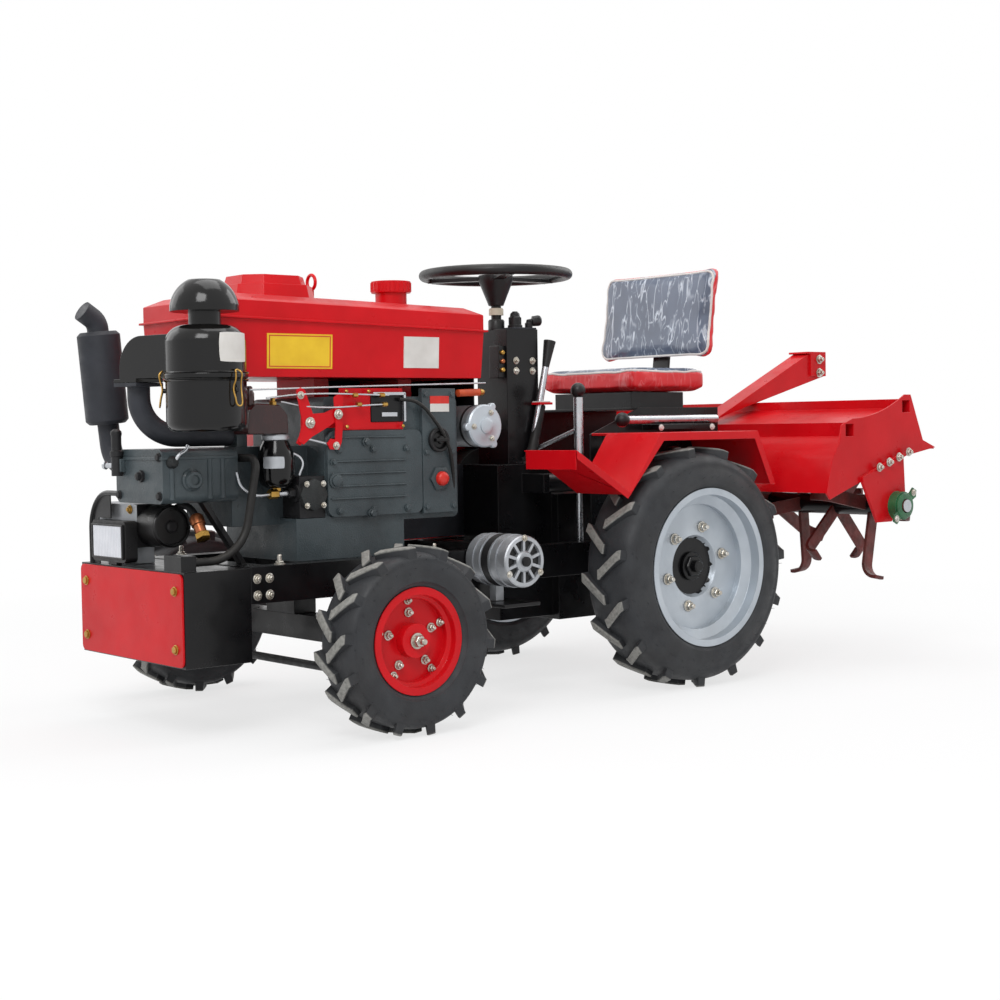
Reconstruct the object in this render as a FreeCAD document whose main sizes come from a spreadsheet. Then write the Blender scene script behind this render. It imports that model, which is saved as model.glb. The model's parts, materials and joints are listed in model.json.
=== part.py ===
import FreeCAD, Part
import math
import os
import re
import Sketcher

# Four-wheel rotary tiller: a small diesel tractor with a powered tiller hinged behind its rear axle.
# Frame: +Z up, the machine looks towards -Y, its left side is +X, the wheels stand on Z = 0.
# Lengths are in millimetres, angles in degrees.

document = FreeCAD.newDocument("RotaryTiller")
sheet = document.addObject("Spreadsheet::Sheet", "Sizes")

SIZES = {
    # running gear
    "front_axle_y": -739,
    "wheelbase": 925,
    "front_tyre_radius": 204,
    "front_tyre_width": 120,
    "front_tread_width": 108,
    "kingpin_offset": 105,
    "front_rim_radius": 116,
    "front_rim_width": 92,
    "front_disc_depth": 34,
    "front_hub_radius": 37,
    "front_hub_rise": 24,
    "front_rim_drop": 9,
    "front_bulge": 44,
    "rear_tyre_radius": 300,
    "rear_tyre_width": 176,
    "rear_tread_width": 126,
    "rear_track": 780,
    "rear_rim_radius": 197,
    "rear_rim_width": 168,
    "rear_disc_depth": 55,
    "rear_hub_radius": 70,
    "rear_hub_sink": 14,
    "rear_rim_drop": 24,
    "rear_bulge": 16,
    "hub_length": 46,
    "hub_wall": 22,
    "rim_ledge": 0.3,
    "hub_end": 12,
    "tread_depth": 15,
    "tread_edge": 8,
    "lug_root": 36,
    "lug_width": 27,
    "lug_lap": 6,
    "lug_slant": 51,
    "front_lugs": 14,
    "rear_lugs": 15,
    "bead_height": 13,
    "rim_wall": 4,
    "disc_wall": 8,
    "running_fit": 0.05,
    "joint_gap": 0.5,
    "overcut": 1,
    "front_spindle_radius": 15,
    "spindle_inset": 6,
    "rear_shaft_radius": 22,
    # front axle and steering
    "kingpin_spacing": 690,
    "kingpin_radius": 16,
    "kingpin_sleeve_radius": 27,
    "kingpin_sleeve_height": 76,
    "axle_beam": 56,
    "saddle_width": 120,
    "knuckle_wall": 16,
    "knuckle_clearance": 3,
    "steering_arm": 115,
    "steering_arm_width": 30,
    "steering_arm_thickness": 12,
    "tie_pin_radius": 7,
    "tie_pin_tail": 4,
    "tie_rod_radius": 9,
    "tie_eye_radius": 17,
    "tie_eye_height": 22,
    "steering_wheel_radius": 197,
    "steering_wheel_z": 1044,
    "steering_wheel_behind": -284,
    "steering_rim_radius": 13,
    "spoke_width": 28,
    "spoke_thickness": 10,
    "wheel_hub_radius": 44,
    "wheel_hub_top": 15,
    "wheel_hub_neck": 19,
    "wheel_hub_height": 78,
    "column_radius": 13,
    "post_width": 120,
    "post_front_behind": -301,
    "post_depth": 105,
    "post_top": 905,
    # frame and front box
    "frame_width": 468,
    "rail_bottom": 284,
    "rail_height": 80,
    "rail_flange": 45,
    "rail_wall": 6,
    "rail_rear_behind": -56,
    "cross_depth": 60,
    "box_front_y": -1152,
    "box_depth": 162,
    "box_bottom": 159,
    "box_height": 203,
    "plate_thickness": 5,
    "plate_margin": 3,
    "plate_corner": 14,
    "plate_bolt_radius": 6.5,
    "plate_bolt_depth": 30,
    "plate_bolt_inset_x": 29,
    "plate_bolt_inset_z": 37,
    "stay_width": 22,
    "stay_left": 148,
    "stay_thickness": 14,
    "stay_lean": 94,
    "shield_edge": 26,
    "shield_radius": 84,
    "shield_top": 160,
    "shield_pipe": 6,
    "shield_back": 14,
    "shield_reach": 93,
    "shield_sheet": 3,
    # engine, measured back from the front box
    "engine_setback": 387,
    "engine_left": 190,
    "engine_right": -110,
    "engine_length": 380,
    "engine_bottom": 445,
    "engine_height": 285,
    "engine_corner": 14,
    "cover_thickness": 12,
    "cover_corner": 20,
    "timing_cover_length": 99,
    "timing_cover_height": 292,
    "timing_cover_depth": 14,
    "barrel_length": 200,
    "barrel_left": 120,
    "barrel_width": 200,
    "barrel_height": 176,
    "head_left": 150,
    "head_width": 210,
    "head_length": 185,
    "head_bottom": 503,
    "head_height": 117,
    "head_corner": 18,
    "base_overhang": 78,
    "base_length": 297,
    "flywheel_radius": 168,
    "flywheel_width": 60,
    "crank_setback": 592,
    "crank_z": 565,
    "clutch_pulley_radius": 100,
    "clutch_pulley_behind": -246,
    "clutch_pulley_z": 500,
    "belt_thickness": 12,
    "belt_inset": 10,
    "guard_gap": 12,
    "guard_wall": 3,
    # tank
    "tank_setback": 129,
    "tank_length": 741,
    "tank_straight": 360,
    "tank_width": 380,
    "tank_nose_narrowing": 12,
    "tank_seam_front": 907,
    "tank_seam_rear": 890,
    "tank_side_rise": 36,
    "tank_top_rise": 53,
    "tank_bevel": 34,
    "tank_bottom": 774,
    "tank_taper": 6,
    "tank_flange": 8,
    "tank_flange_thickness": 5,
    "hump_setback": 360,
    "hump_length": 216,
    "hump_width": 190,
    "hump_corner": 46,
    "hump_top": 1010,
    "hump_slope": 8,
    "hump_step": 22,
    "hump_root": 12,
    "cap_x": 30,
    "cap_setback": 698,
    "cap_radius": 48,
    "cap_height": 28,
    "cap_top": 1011,
    "cap_neck_radius": 38,
    "cap_neck_height": 44,
    "ring_setback": 488,
    "ring_radius": 17,
    "ring_wire": 4,
    "ring_z": 1003,
    "ring_stem_radius": 6,
    "ring_stem_height": 38,
    "foot_width": 160,
    "foot_depth": 40,
    "foot_inset": 50,
    # front fittings
    "cleaner_x": 250,
    "cleaner_setback": 54,
    "cleaner_radius": 84,
    "cleaner_bottom": 656,
    "cleaner_height": 222,
    "cleaner_seam": 108,
    "cleaner_seam_height": 16,
    "cleaner_seam_bulge": 4,
    "cleaner_bowl_corner": 20,
    "cleaner_shoulder": 34,
    "cleaner_dome_radius": 40.8,
    "cleaner_neck_radius": 34,
    "cleaner_neck_height": 28,
    "cleaner_cap_radius": 72,
    "cleaner_cap_height": 66,
    "cleaner_cap_edge": 12,
    "hood_turn": 12,
    "hood_reach": 232,
    "hood_width": 76,
    "hood_bottom": 772,
    "hood_height": 90,
    "hood_corner": 70,
    "hood_flange": 8,
    "hood_flange_length": 74,
    "intake_reach": 215,
    "intake_radius": 24.5,
    "intake_bend": 84,
    "intake_z": 648,
    "port_left": 122,
    "port_width": 56,
    "port_setback": 158,
    "port_depth": 26,
    "port_rise": 28,
    "muffler_x": -170,
    "muffler_setback": 41,
    "muffler_z": 677,
    "muffler_radius": 48,
    "muffler_length": 209,
    "muffler_lean": 5,
    "muffler_neck": 8,
    "exhaust_radius": 24,
    "exhaust_rise": 22,
    "exhaust_reach": 44,
    "exhaust_turn": 51,
    "exhaust_bend": 34,
    "exhaust_port_setback": 50,
    "exhaust_port_drop": 35,
    "exhaust_elbow": 45,
    "lamp_x": -90,
    "lamp_width": 158,
    "lamp_height": 92,
    "lamp_depth": 30,
    "lamp_corner": 12,
    "lamp_lift": 8,
    "lamp_foot": 40,
    "lamp_foot_inset": 8,
    "pump_left": -22,
    "pump_width": 208,
    "pump_height": 96,
    "pump_depth": 88,
    "pump_stand_depth": 44,
    "pump_setback": 74,
    "pump_lift": 40,
    "pump_foot": 120,
    "motor_inset": 1,
    "pump_motor_length": 77,
    "hose_x": 205,
    "hose_radius": 9,
    "hose_drop": 24,
    "hose_lead": 185,
    "hose_elbow": 30,
    "hose_bend": 100,
    "hose_z": 380,
    "hose_corner_setback": 160,
    "junction_left": 216,
    "junction_inset": 4,
    "junction_length": 74,
    "junction_depth": 36,
    "junction_height": 33,
    # fittings on the engine's left side
    "filter_x": 165,
    "filter_lead": 112,
    "filter_radius": 38,
    "filter_bottom": 527,
    "filter_height": 121,
    "bracket_rear": 80,
    "bracket_front": 200,
    "bracket_height": 48,
    "bracket_inner": 126,
    "bracket_outer": 190,
    "bracket_foot_x": 96,
    "bracket_foot_rear": 104,
    "bracket_foot_front": 140,
    "injector_depth": 68,
    "injector_height": 108,
    "starter_radius": 50,
    "starter_length": 145,
    "starter_reach": 15,
    "starter_gap": 20,
    "starter_flange": 12,
    "starter_flange_height": 80,
    "starter_z": 659,
    "alternator_radius": 61,
    "alternator_length": 134,
    "alternator_gap": 4,
    "alternator_y": -342,
    "alternator_z": 343,
    "alternator_ear": 24,
    "alternator_ear_x": 40,
    "alternator_shelf_z": 237,
    "alternator_shelf": 8,
    "alternator_shelf_depth": 110,
    "governor_plate": 6,
    "governor_front": 41,
    "governor_length": 84,
    "governor_bottom": 654,
    "governor_height": 95,
    "governor_bar": 18,
    "governor_tail": 91,
    "bell_lead": 51,
    "bell_z": 672,
    "bell_pin_radius": 9,
    "bell_width": 12,
    "bell_gap": 3,
    "bell_up": 67,
    "bell_up_turn": 110,
    "bell_back": 82,
    "bell_back_turn": 15,
    "bell_down": 54,
    "bell_down_turn": 241,
    # station
    "seat_width": 376,
    "seat_front_behind": 29,
    "seat_length": 270,
    "seat_bottom": 742,
    "seat_height": 66,
    "back_width": 424,
    "back_height": 236,
    "back_thickness": 38,
    "back_bottom": 838,
    "back_behind": 274,
    "back_lean": 6.8,
    "seat_plate": 6,
    "deck_rear_behind": 327,
    "deck_top": 700,
    "seat_side_front_behind": -146,
    "slide_width": 300,
    "slide_front_behind": 49,
    "slide_rear_behind": 245,
    "mast_width": 60,
    "mast_thickness": 8,
    "mast_height": 165,
    "fender_top": 633,
    "fender_inner": 201,
    "fender_outer": 447,
    "fender_sheet": 3,
    "fender_front_behind": -139,
    "fender_rear_behind": 207,
    "fender_tail_behind": 274,
    "fender_tail_z": 497,
    "fender_flange": 17,
    "footboard_inner": 257,
    "footboard_front_behind": -418,
    "footboard_front_z": 596,
    "footboard_low_behind": -246,
    "footboard_low_z": 488,
    "footboard_lip": 43,
    "footboard_lip_inset": 6,
    # levers
    "gear_lever_x": 74,
    "gear_lever_behind": -240,
    "gear_foot": 24,
    "gear_foot_height": 18,
    "gear_lever_lean": 13.4,
    "gear_lever_radius": 9,
    "gear_lever_length": 245,
    "gear_grip_length": 70,
    "gear_grip_radius": 16,
    "gear_grip_neck": 9,
    "clutch_lever_x": 176,
    "clutch_stem_radius": 8,
    "lever_pin_radius": 5.3,
    "clutch_sleeve_z": 540,
    "clutch_lever_behind": -164,
    "clutch_lever_bottom": 321,
    "clutch_lever_top": 729,
    "clutch_lever_radius": 12,
    "knob_radius": 19,
    "knob_reach": 17.1,
    "link_radius": 5.5,
    "link_front_behind": -206,
    "link_front_z": 599,
    "link_rear_z": 648,
    "hand_lever_x": 250,
    "hand_lever_front_behind": -64,
    "hand_lever_rear_behind": 266,
    "hand_lever_z": 669,
    "hand_lever_radius": 10.5,
    "lever_rest_thickness": 14,
    "lever_rest_gap": 2.5,
    "lever_rest_outer": 262,
    "hand_pin_inset": 12,
    "lever_rest_front_behind": 39,
    "lever_rest_rear_behind": 244,
    # transaxle
    "gearbox_half_width": 95,
    "gearbox_front_behind": -166,
    "gearbox_length": 200,
    "gearbox_bottom": 155,
    "gearbox_height": 325,
    "axle_tube_radius": 42,
    "input_half_width": 70,
    "input_front_behind": -346,
    "input_bottom": 165,
    "input_top": 560,
    # tiller
    "pivot_behind_axle": 85,
    "pivot_z": 420,
    "pivot_radius": 30,
    "pivot_half_length": 125,
    "pivot_boss": 14,
    "pivot_lug_inner": 45,
    "pivot_lug_outer": 75,
    "crank_root": 20,
    "lift_tie_gap": 14,
    "lift_tie_depth": 20,
    "lift_tie_z": 505,
    "lift_tie_height": 40,
    "arm_offset": 100,
    "arm_thickness": 12,
    "crank_radius": 95,
    "crank_half_foot": 30,
    "crank_head": 20,
    "lift_mid_angle": 15.5,
    "lift_pin_radius": 9,
    "cylinder_offset": 30,
    "cylinder_radius": 24,
    "cylinder_length": 205,
    "cylinder_base_back": 330,
    "cylinder_base": 20,
    "rod_radius": 11,
    "rod_insertion": 78,
    "rod_bore_depth": 100,
    "rod_bore_fit": 0.5,
    "rod_eye_radius": 24,
    "rod_eye_half": 12,
    "rod_eye_play": 6,
    "tiller_half_width": 540,
    "side_plate": 6,
    "hood_sheet": 5,
    "hood_front_behind": 368,
    "hood_front_z": 471,
    "hood_toe_behind": 382,
    "hood_toe_z": 454,
    "hood_knee_behind": 391,
    "hood_knee_z": 557,
    "hood_hip_behind": 421,
    "hood_hip_z": 599,
    "cheek_heel_behind": 706,
    "cheek_heel_z": 561,
    "lip_tip_behind": 835,
    "lip_tip_z": 581,
    "lip_root_behind": 778,
    "lip_root_z": 602,
    "cheek_tip_behind": 724,
    "cheek_tip_z": 726,
    "cheek_tip_length": 25,
    "cheek_brow_behind": 475,
    "cheek_brow_z": 663,
    "cheek_brow_radius": 480,
    "front_tube_behind": 463,
    "front_tube_z": 633,
    "rear_tube_behind": 703,
    "rear_tube_z": 694,
    "hood_tube_side": 40,
    "hood_tube_wall": 4,
    "crown_behind": 433,
    "crown_z": 647,
    "case_window_front": 540,
    "case_window_bottom": 440,
    "case_window_rear": 615,
    "case_window_top": 494,
    "rotor_behind": 648,
    "rotor_z": 428,
    "rotor_shaft_radius": 28,
    "rotor_journal_radius": 17,
    "rotor_end_gap": 20,
    "journal_tail": 12,
    "tine_radius": 200,
    "tine_width": 36,
    "tine_thickness": 9,
    "tine_bend": 40,
    "tine_stations": 8,
    "tine_first_x": 110,
    "tine_last_x": 468,
    "tine_root": 4,
    "tine_count": 4,
    "tine_curl": 1.3,
    "tine_turn": 37,
    "case_half_width": 26,
    "case_radius": 52,
    "case_pivot_boss": 16,
    "bearing_radius": 38,
    "bearing_depth": 24,
    "bearing_plate": 9,
    "bearing_arm": 143,
    "bearing_arm_rise": 67,
    "bearing_heel": 82,
    "bearing_toe": 20.5,
    "bearing_drop": 42,
    "bearing_back": 38,
    "bearing_back_rise": 36,
    "bearing_tail": 31,
    "bearing_tail_rise": 126,
    "bearing_lap": 14,
    "boom_side": 62,
    "boom_foot_behind": 469,
    "boom_foot_length": 80,
    "boom_foot_rise": 27,
    "boom_end_behind": 982,
    "boom_end_top": 860,
    "boom_end_bottom": 793,
    "boom_end_length": 70,
    "hitch_plate": 7,
    "hitch_hole_radius": 7,
    "hitch_hole_spacing": 40,
    "hitch_hole_inset": 32,
    "hitch_hole_drop": 17,
    "hitch_cap": 6,
    "hitch_cap_overhang": 12,
}

# the wheels stand out from their kingpins; the station, gearbox and tiller lie behind the rear axle
PLACES = {
    name.replace("_behind", "_y"): "=front_axle_y + wheelbase + " + name
    for name in SIZES
    if name.endswith("_behind")
}
PLACES["front_track"] = "=kingpin_spacing + 2 * kingpin_offset"

for row, (name, value) in enumerate([*SIZES.items(), *PLACES.items()], start=1):
    sheet.set("A%d" % row, name)
    sheet.set("B%d" % row, str(value))
    sheet.setAlias("B%d" % row, name)
document.recompute()

WORD = re.compile(r"[a-z]+(?:_[a-z]+)*")
NAMED = {*SIZES, *PLACES}


def linked(text):
    """Expression text with each size name pointing at the sheet."""
    return WORD.sub(lambda m: "Sizes." + m.group() if m.group() in NAMED else m.group(), str(text))


def value_of(text):
    """Number that an expression of size names gives."""
    return float(sheet.evalExpression(str(text)))


def bind(item, **expressions):
    """Tie properties to the sheet; an underscore in a keyword stands for a dot."""
    for name, text in expressions.items():
        item.setExpression(name.replace("_", "."), linked(text))
    return item


def place(item, x=0, y=0, z=0):
    return bind(item, Placement_Base_x=x, Placement_Base_y=y, Placement_Base_z=z)


def span(centre, half):
    """Limits of a length centred on a place."""
    return ("(%s) - (%s)" % (centre, half), "(%s) + (%s)" % (centre, half))


def both(limit):
    """Limits the same distance either side of the middle plane."""
    return ("-(%s)" % limit, limit)


def box(x, y, z, name="Block"):
    """Block between two limits along each axis."""
    item = document.addObject("Part::Box", name)
    spans = ["(%s) - (%s)" % (high, low) for low, high in (x, y, z)]
    bind(item, Length=spans[0], Width=spans[1], Height=spans[2])
    return place(item, x[0], y[0], z[0])


TURNS = {
    "X": FreeCAD.Rotation(FreeCAD.Vector(0, 1, 0), 90),
    "Y": FreeCAD.Rotation(FreeCAD.Vector(1, 0, 0), -90),
    "Z": FreeCAD.Rotation(),
}


def rod(axis, radius, along, across, name="Round"):
    """Cylinder along one axis; across gives the other two coordinates in order."""
    item = document.addObject("Part::Cylinder", name)
    item.Placement = FreeCAD.Placement(FreeCAD.Vector(), TURNS[axis])
    bind(item, Radius=radius, Height="(%s) - (%s)" % (along[1], along[0]))
    spot = list(across)
    spot.insert("XYZ".index(axis), along[0])
    return place(item, *spot)


def fuse(name, *parts):
    item = document.addObject("Part::MultiFuse", name)
    item.Shapes = list(parts)
    item.Refine = True
    return item


def cut(name, base, *tools):
    item = document.addObject("Part::Cut", name)
    item.Base = base
    item.Tool = tools[0] if len(tools) == 1 else fuse(name + "Tools", *tools)
    return item


def gather(name, *parts):
    """Several solids that don't touch, kept in one sub-part."""
    item = document.addObject("Part::Compound", name)
    item.Links = list(parts)
    return item


def mirror(name, source):
    """The same piece on the other side of the machine's middle plane."""
    item = document.addObject("Part::Mirroring", name)
    item.Source = source
    item.Normal = FreeCAD.Vector(1, 0, 0)
    return item


def label(item, node):
    item.Label = node
    NODES.append(item)
    return item


NODES = []
LEFT_HANDED = {"XZ_Plane"}


def outline(body, plane, points, offset=0):
    """Closed sketch through points given as size expressions; a third entry is an arc's radius.

    The points run anticlockwise and a positive radius bulges outwards.
    """
    sketch = body.newObject("Sketcher::SketchObject", body.Name + "Outline")
    sketch.AttachmentSupport = [(next(f for f in body.Origin.OriginFeatures if f.Role == plane), "")]
    sketch.MapMode = "FlatFace"
    bind(sketch, AttachmentOffset_Base_z=offset)
    spots = [FreeCAD.Vector(value_of(p[0]), value_of(p[1]), 0) for p in points]
    lines = []
    for i, spot in enumerate(spots):
        following = spots[(i + 1) % len(spots)]
        if len(points[i]) == 3:
            radius = value_of(points[i][2])
            chord = following - spot
            side = FreeCAD.Vector(-chord.y, chord.x, 0).normalize()
            depth = math.sqrt(radius ** 2 - (chord.Length / 2) ** 2)
            centre = (spot + following) / 2 + side * math.copysign(depth, radius)
            ends = (spot, following) if radius > 0 else (following, spot)
            turns = [math.atan2(end.y - centre.y, end.x - centre.x) for end in ends]
            if turns[1] < turns[0]:
                turns[1] += 2 * math.pi
            ring = Part.Circle(centre, FreeCAD.Vector(0, 0, 1), abs(radius))
            curve = Part.ArcOfCircle(ring, *turns)
        else:
            curve = Part.LineSegment(spot, following)
        lines.append(sketch.addGeometry(curve, False))
    starts = []
    for line, spot in zip(lines, spots):
        starts.append(1 if sketch.Geometry[line].StartPoint.distanceToPoint(spot) < 1e-6 else 2)
    for i, line in enumerate(lines):
        after = (i + 1) % len(lines)
        end = 3 - starts[i]
        sketch.addConstraint(Sketcher.Constraint("Coincident", line, end, lines[after], starts[after]))
    for i, line in enumerate(lines):
        across = ("DistanceX", points[i][0], spots[i].x)
        upward = ("DistanceY", points[i][1], spots[i].y)
        for kind, text, number in (across, upward):
            tie = sketch.addConstraint(Sketcher.Constraint(kind, -1, 1, line, starts[i], number))
            sketch.setExpression("Constraints[%d]" % tie, linked(text))
        if len(points[i]) == 3:
            tie = sketch.addConstraint(Sketcher.Constraint("Radius", line, abs(value_of(points[i][2]))))
            sketch.setExpression("Constraints[%d]" % tie, linked("abs(%s)" % points[i][2]))
    return sketch


def prism(name, plane, points, low, high):
    """Pad of an outline between two limits along the plane's normal axis."""
    body = document.addObject("PartDesign::Body", name)
    offset = "-(%s)" % high if plane in LEFT_HANDED else low
    sketch = outline(body, plane, points, offset)
    pad = body.newObject("PartDesign::Pad", name + "Pad")
    pad.Profile = sketch
    bind(pad, Length="(%s) - (%s)" % (high, low))
    return body


def turned(name, points, axis="H_Axis", plane="XY_Plane"):
    """Outline turned about one of its sketch's axes."""
    body = document.addObject("PartDesign::Body", name)
    sketch = outline(body, plane, points)
    turn = body.newObject("PartDesign::Revolution", name + "Turn")
    turn.Profile = sketch
    turn.ReferenceAxis = (sketch, [axis])
    turn.Angle = 360
    return body


def rounded(body, radius, direction):
    """Fillet of the edges that run along one direction."""
    document.recompute()
    base = body.Tip
    picked = []
    for number, edge in enumerate(base.Shape.Edges, start=1):
        run = edge.Vertexes[-1].Point - edge.Vertexes[0].Point
        if run.Length > 1e-6 and abs(run.normalize().dot(direction)) > 0.999:
            picked.append("Edge%d" % number)
    fillet = body.newObject("PartDesign::Fillet", body.Name + "Rounding")
    fillet.Base = (base, picked)
    bind(fillet, Radius=radius)
    return body


# places that several pieces share
FRONT_Z = "front_tyre_radius"
REAR_Y = "(front_axle_y + wheelbase)"
REAR_Z = "rear_tyre_radius"
RAIL_TOP = "(rail_bottom + rail_height)"
HALF_FRAME = "(frame_width / 2)"
KINGPIN_X = "(kingpin_spacing / 2)"
SLEEVE_TOP = "(front_tyre_radius + kingpin_sleeve_height / 2)"
SLEEVE_BOTTOM = "(front_tyre_radius - kingpin_sleeve_height / 2)"
ARM_TOP = "(%s - joint_gap)" % SLEEVE_BOTTOM
ARM_BOTTOM = "(%s - steering_arm_thickness)" % ARM_TOP
TIE_Y = "(front_axle_y - steering_arm)"
PIVOT_Y = "(front_axle_y + wheelbase + pivot_behind_axle)"
BOX_REAR = "(box_front_y + box_depth)"
BOX_TOP = "(box_bottom + box_height)"
PLATE_Y = "(box_front_y - plate_thickness)"
ENGINE_FRONT = "(box_front_y + engine_setback)"
ENGINE_REAR = "(%s + engine_length)" % ENGINE_FRONT
ENGINE_TOP = "(engine_bottom + engine_height)"
BARREL_TOP = "(engine_bottom + barrel_height)"
HEAD_REAR = "(%s - barrel_length)" % ENGINE_FRONT
HEAD_FRONT = "(%s - head_length)" % HEAD_REAR
HEAD_RIGHT = "(head_left - head_width)"
PORT_Y = "(%s - port_setback)" % ENGINE_FRONT
TANK_FRONT = "(box_front_y + tank_setback)"
TANK_REAR = "(%s + tank_length)" % TANK_FRONT
CLEANER_Y = "(box_front_y + cleaner_setback)"
LAMP_BOTTOM = "(%s + lamp_lift)" % BOX_TOP
CRANK_TURN = "(90 + lift_mid_angle)"
LIFT_PIN_Y = "(%s + crank_radius * cos(%s))" % (PIVOT_Y, CRANK_TURN)
LIFT_PIN_Z = "(pivot_z + crank_radius * sin(%s))" % CRANK_TURN
CYLINDER_X = "(arm_offset + cylinder_offset)"
CYLINDER_BASE = "(%s - cylinder_base_back)" % PIVOT_Y
SEAT_SIDE = "(fender_inner - seat_plate)"


def vector(x, y, z):
    return FreeCAD.Vector(value_of(x), value_of(y), value_of(z))


def shape_part(name, shape):
    """Piece whose form only Part's own functions make; its sizes come from the sheet."""
    item = document.addObject("Part::Feature", name)
    item.Shape = shape
    return item


def bar(start, end, radius):
    along = end - start
    return Part.makeCylinder(value_of(radius), along.Length, start, along)


def bent_pipe(points, radii, outer):
    """Round bar along straight runs joined by tangent arcs, one radius for each inner point."""
    edges = []
    at = points[0]
    for before, corner, after, radius in zip(points, points[1:], points[2:], radii):
        into = (corner - before).normalize()
        away = (after - corner).normalize()
        half = math.acos(max(-1, min(1, into.dot(away)))) / 2
        trim = value_of(radius) * math.tan(half)
        first = corner - into * trim
        last = corner + away * trim
        bisector = (away - into).normalize()
        middle = corner + bisector * (value_of(radius) / math.cos(half) - value_of(radius))
        edges.append(Part.LineSegment(at, first).toShape())
        edges.append(Part.Arc(first, middle, last).toShape())
        at = last
    edges.append(Part.LineSegment(at, points[-1]).toShape())
    ring = Part.Wire([Part.makeCircle(value_of(outer), points[0], points[1] - points[0])])
    return Part.Wire(edges).makePipeShell([ring], True, False)


def make_frame():
    """Two channel rails, open inwards, with cross members, a stay and the alternator's shelf."""
    inner = "(%s - rail_flange)" % HALF_FRAME
    web = "(%s - rail_wall)" % HALF_FRAME
    rail_y = (BOX_REAR, "rail_rear_y")
    rail = box((inner, HALF_FRAME), rail_y, ("rail_bottom", RAIL_TOP))
    channel = ("rail_bottom + rail_wall", "%s - rail_wall" % RAIL_TOP)
    left = cut("RailLeft", rail, box(("%s - overcut" % inner, web), rail_y, channel))
    pieces = [left, mirror("RailRight", left)]
    starts = [
        BOX_REAR,
        "front_axle_y - cross_depth / 2",
        "%s + engine_length / 2" % ENGINE_FRONT,
        "input_front_y - cross_depth",
    ]
    for start in starts:
        pieces.append(box(both(web), (start, start + " + cross_depth"), ("rail_bottom", RAIL_TOP)))
    saddle_z = ("front_tyre_radius + axle_beam / 2", "rail_bottom")
    pieces.append(box(both("saddle_width / 2"), span("front_axle_y", "cross_depth / 2"), saddle_z))
    foot = "(%s + cross_depth / 2)" % BOX_REAR
    top = "head_bottom - joint_gap"
    stay = [
        (foot, RAIL_TOP),
        (foot + " + stay_thickness", RAIL_TOP),
        (foot + " + stay_thickness - stay_lean", top),
        (foot + " - stay_lean", top),
    ]
    pieces.append(prism("Stay", "YZ_Plane", stay, "stay_left - stay_width", "stay_left"))
    shelf_y = span("alternator_y", "alternator_shelf_depth / 2")
    shelf_x = (web, HALF_FRAME + " + alternator_gap + alternator_length")
    pieces.append(box(shelf_x, shelf_y, ("alternator_shelf_z", "alternator_shelf_z + alternator_shelf")))
    pieces.append(box((web, HALF_FRAME), shelf_y, ("alternator_shelf_z", "rail_bottom")))
    label(fuse("Frame", *pieces), "frame")


def make_front_box():
    """Ballast box closing the front of the frame, with the plate, pipe guard and junction box."""
    ballast = box(both(HALF_FRAME), ("box_front_y", BOX_REAR), ("box_bottom", BOX_TOP))
    edge = "(%s - plate_margin)" % HALF_FRAME
    low = "(box_bottom + plate_margin)"
    high = "(%s - plate_margin)" % BOX_TOP
    corners = [("-%s" % edge, low), (edge, low), (edge, high), ("-%s" % edge, high)]
    body = prism("FrontPlate", "XZ_Plane", corners, PLATE_Y, "box_front_y")
    rounded(body, "plate_corner", FreeCAD.Vector(0, 1, 0))
    reach = (PLATE_Y + " - overcut", "box_front_y + plate_bolt_depth")
    holes = []
    for side in ("-1", "1"):
        for z in ("%s + plate_bolt_inset_z" % low, "%s - plate_bolt_inset_z" % high):
            x = "%s * (%s - plate_bolt_inset_x)" % (side, edge)
            holes.append(rod("Y", "plate_bolt_radius", reach, (x, z)))
    x = "(shield_edge - %s)" % HALF_FRAME
    y = "(box_front_y + shield_back)"
    z = "(%s + shield_top)" % BOX_TOP
    bends = [
        vector(x, y, BOX_TOP + " - overcut"),
        vector(x, y, z),
        vector(HEAD_RIGHT + " - joint_gap", y, z),
    ]
    guard = shape_part("PipeGuard", bent_pipe(bends, ["shield_radius"], "shield_pipe"))
    lamp_edge = "(lamp_x - lamp_width / 2 - shield_sheet)"
    lamp_top = "(%s + lamp_height + shield_sheet)" % LAMP_BOTTOM
    web = [
        (x, BOX_TOP),
        (lamp_edge, BOX_TOP),
        (lamp_edge, lamp_top),
        (x + " + shield_reach", lamp_top),
        (x + " + shield_reach", z),
        (x + " + shield_radius", z, "shield_radius"),
        (x, z + " - shield_radius"),
    ]
    sheet_plate = prism("GuardWeb", "XZ_Plane", web, y, y + " + shield_sheet")
    junction = box(
        ("junction_left - junction_length", "junction_left"),
        ("box_front_y + junction_inset", "box_front_y + junction_inset + junction_depth"),
        (BOX_TOP, BOX_TOP + " + junction_height"),
    )
    label(cut("FrontBox", fuse("BoxSolid", ballast, guard, sheet_plate, junction), *holes), "front_box")
    label(cut("PlateDrilled", body, *holes), "front_plate")


def make_front_axle():
    """Square beam under the frame with an upright sleeve at each end for the kingpins."""
    half = "axle_beam / 2"
    beam = box(both(KINGPIN_X), span("front_axle_y", half), span(FRONT_Z, half))
    sleeves = []
    bores = []
    for side in ("-", ""):
        centre = (side + KINGPIN_X, "front_axle_y")
        sleeves.append(rod("Z", "kingpin_sleeve_radius", (SLEEVE_BOTTOM, SLEEVE_TOP), centre))
        reach = (SLEEVE_BOTTOM + " - overcut", SLEEVE_TOP + " + overcut")
        bores.append(rod("Z", "kingpin_radius + running_fit", reach, centre))
    label(cut("FrontAxle", fuse("AxleBeam", beam, *sleeves), *bores), "front_axle")


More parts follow.
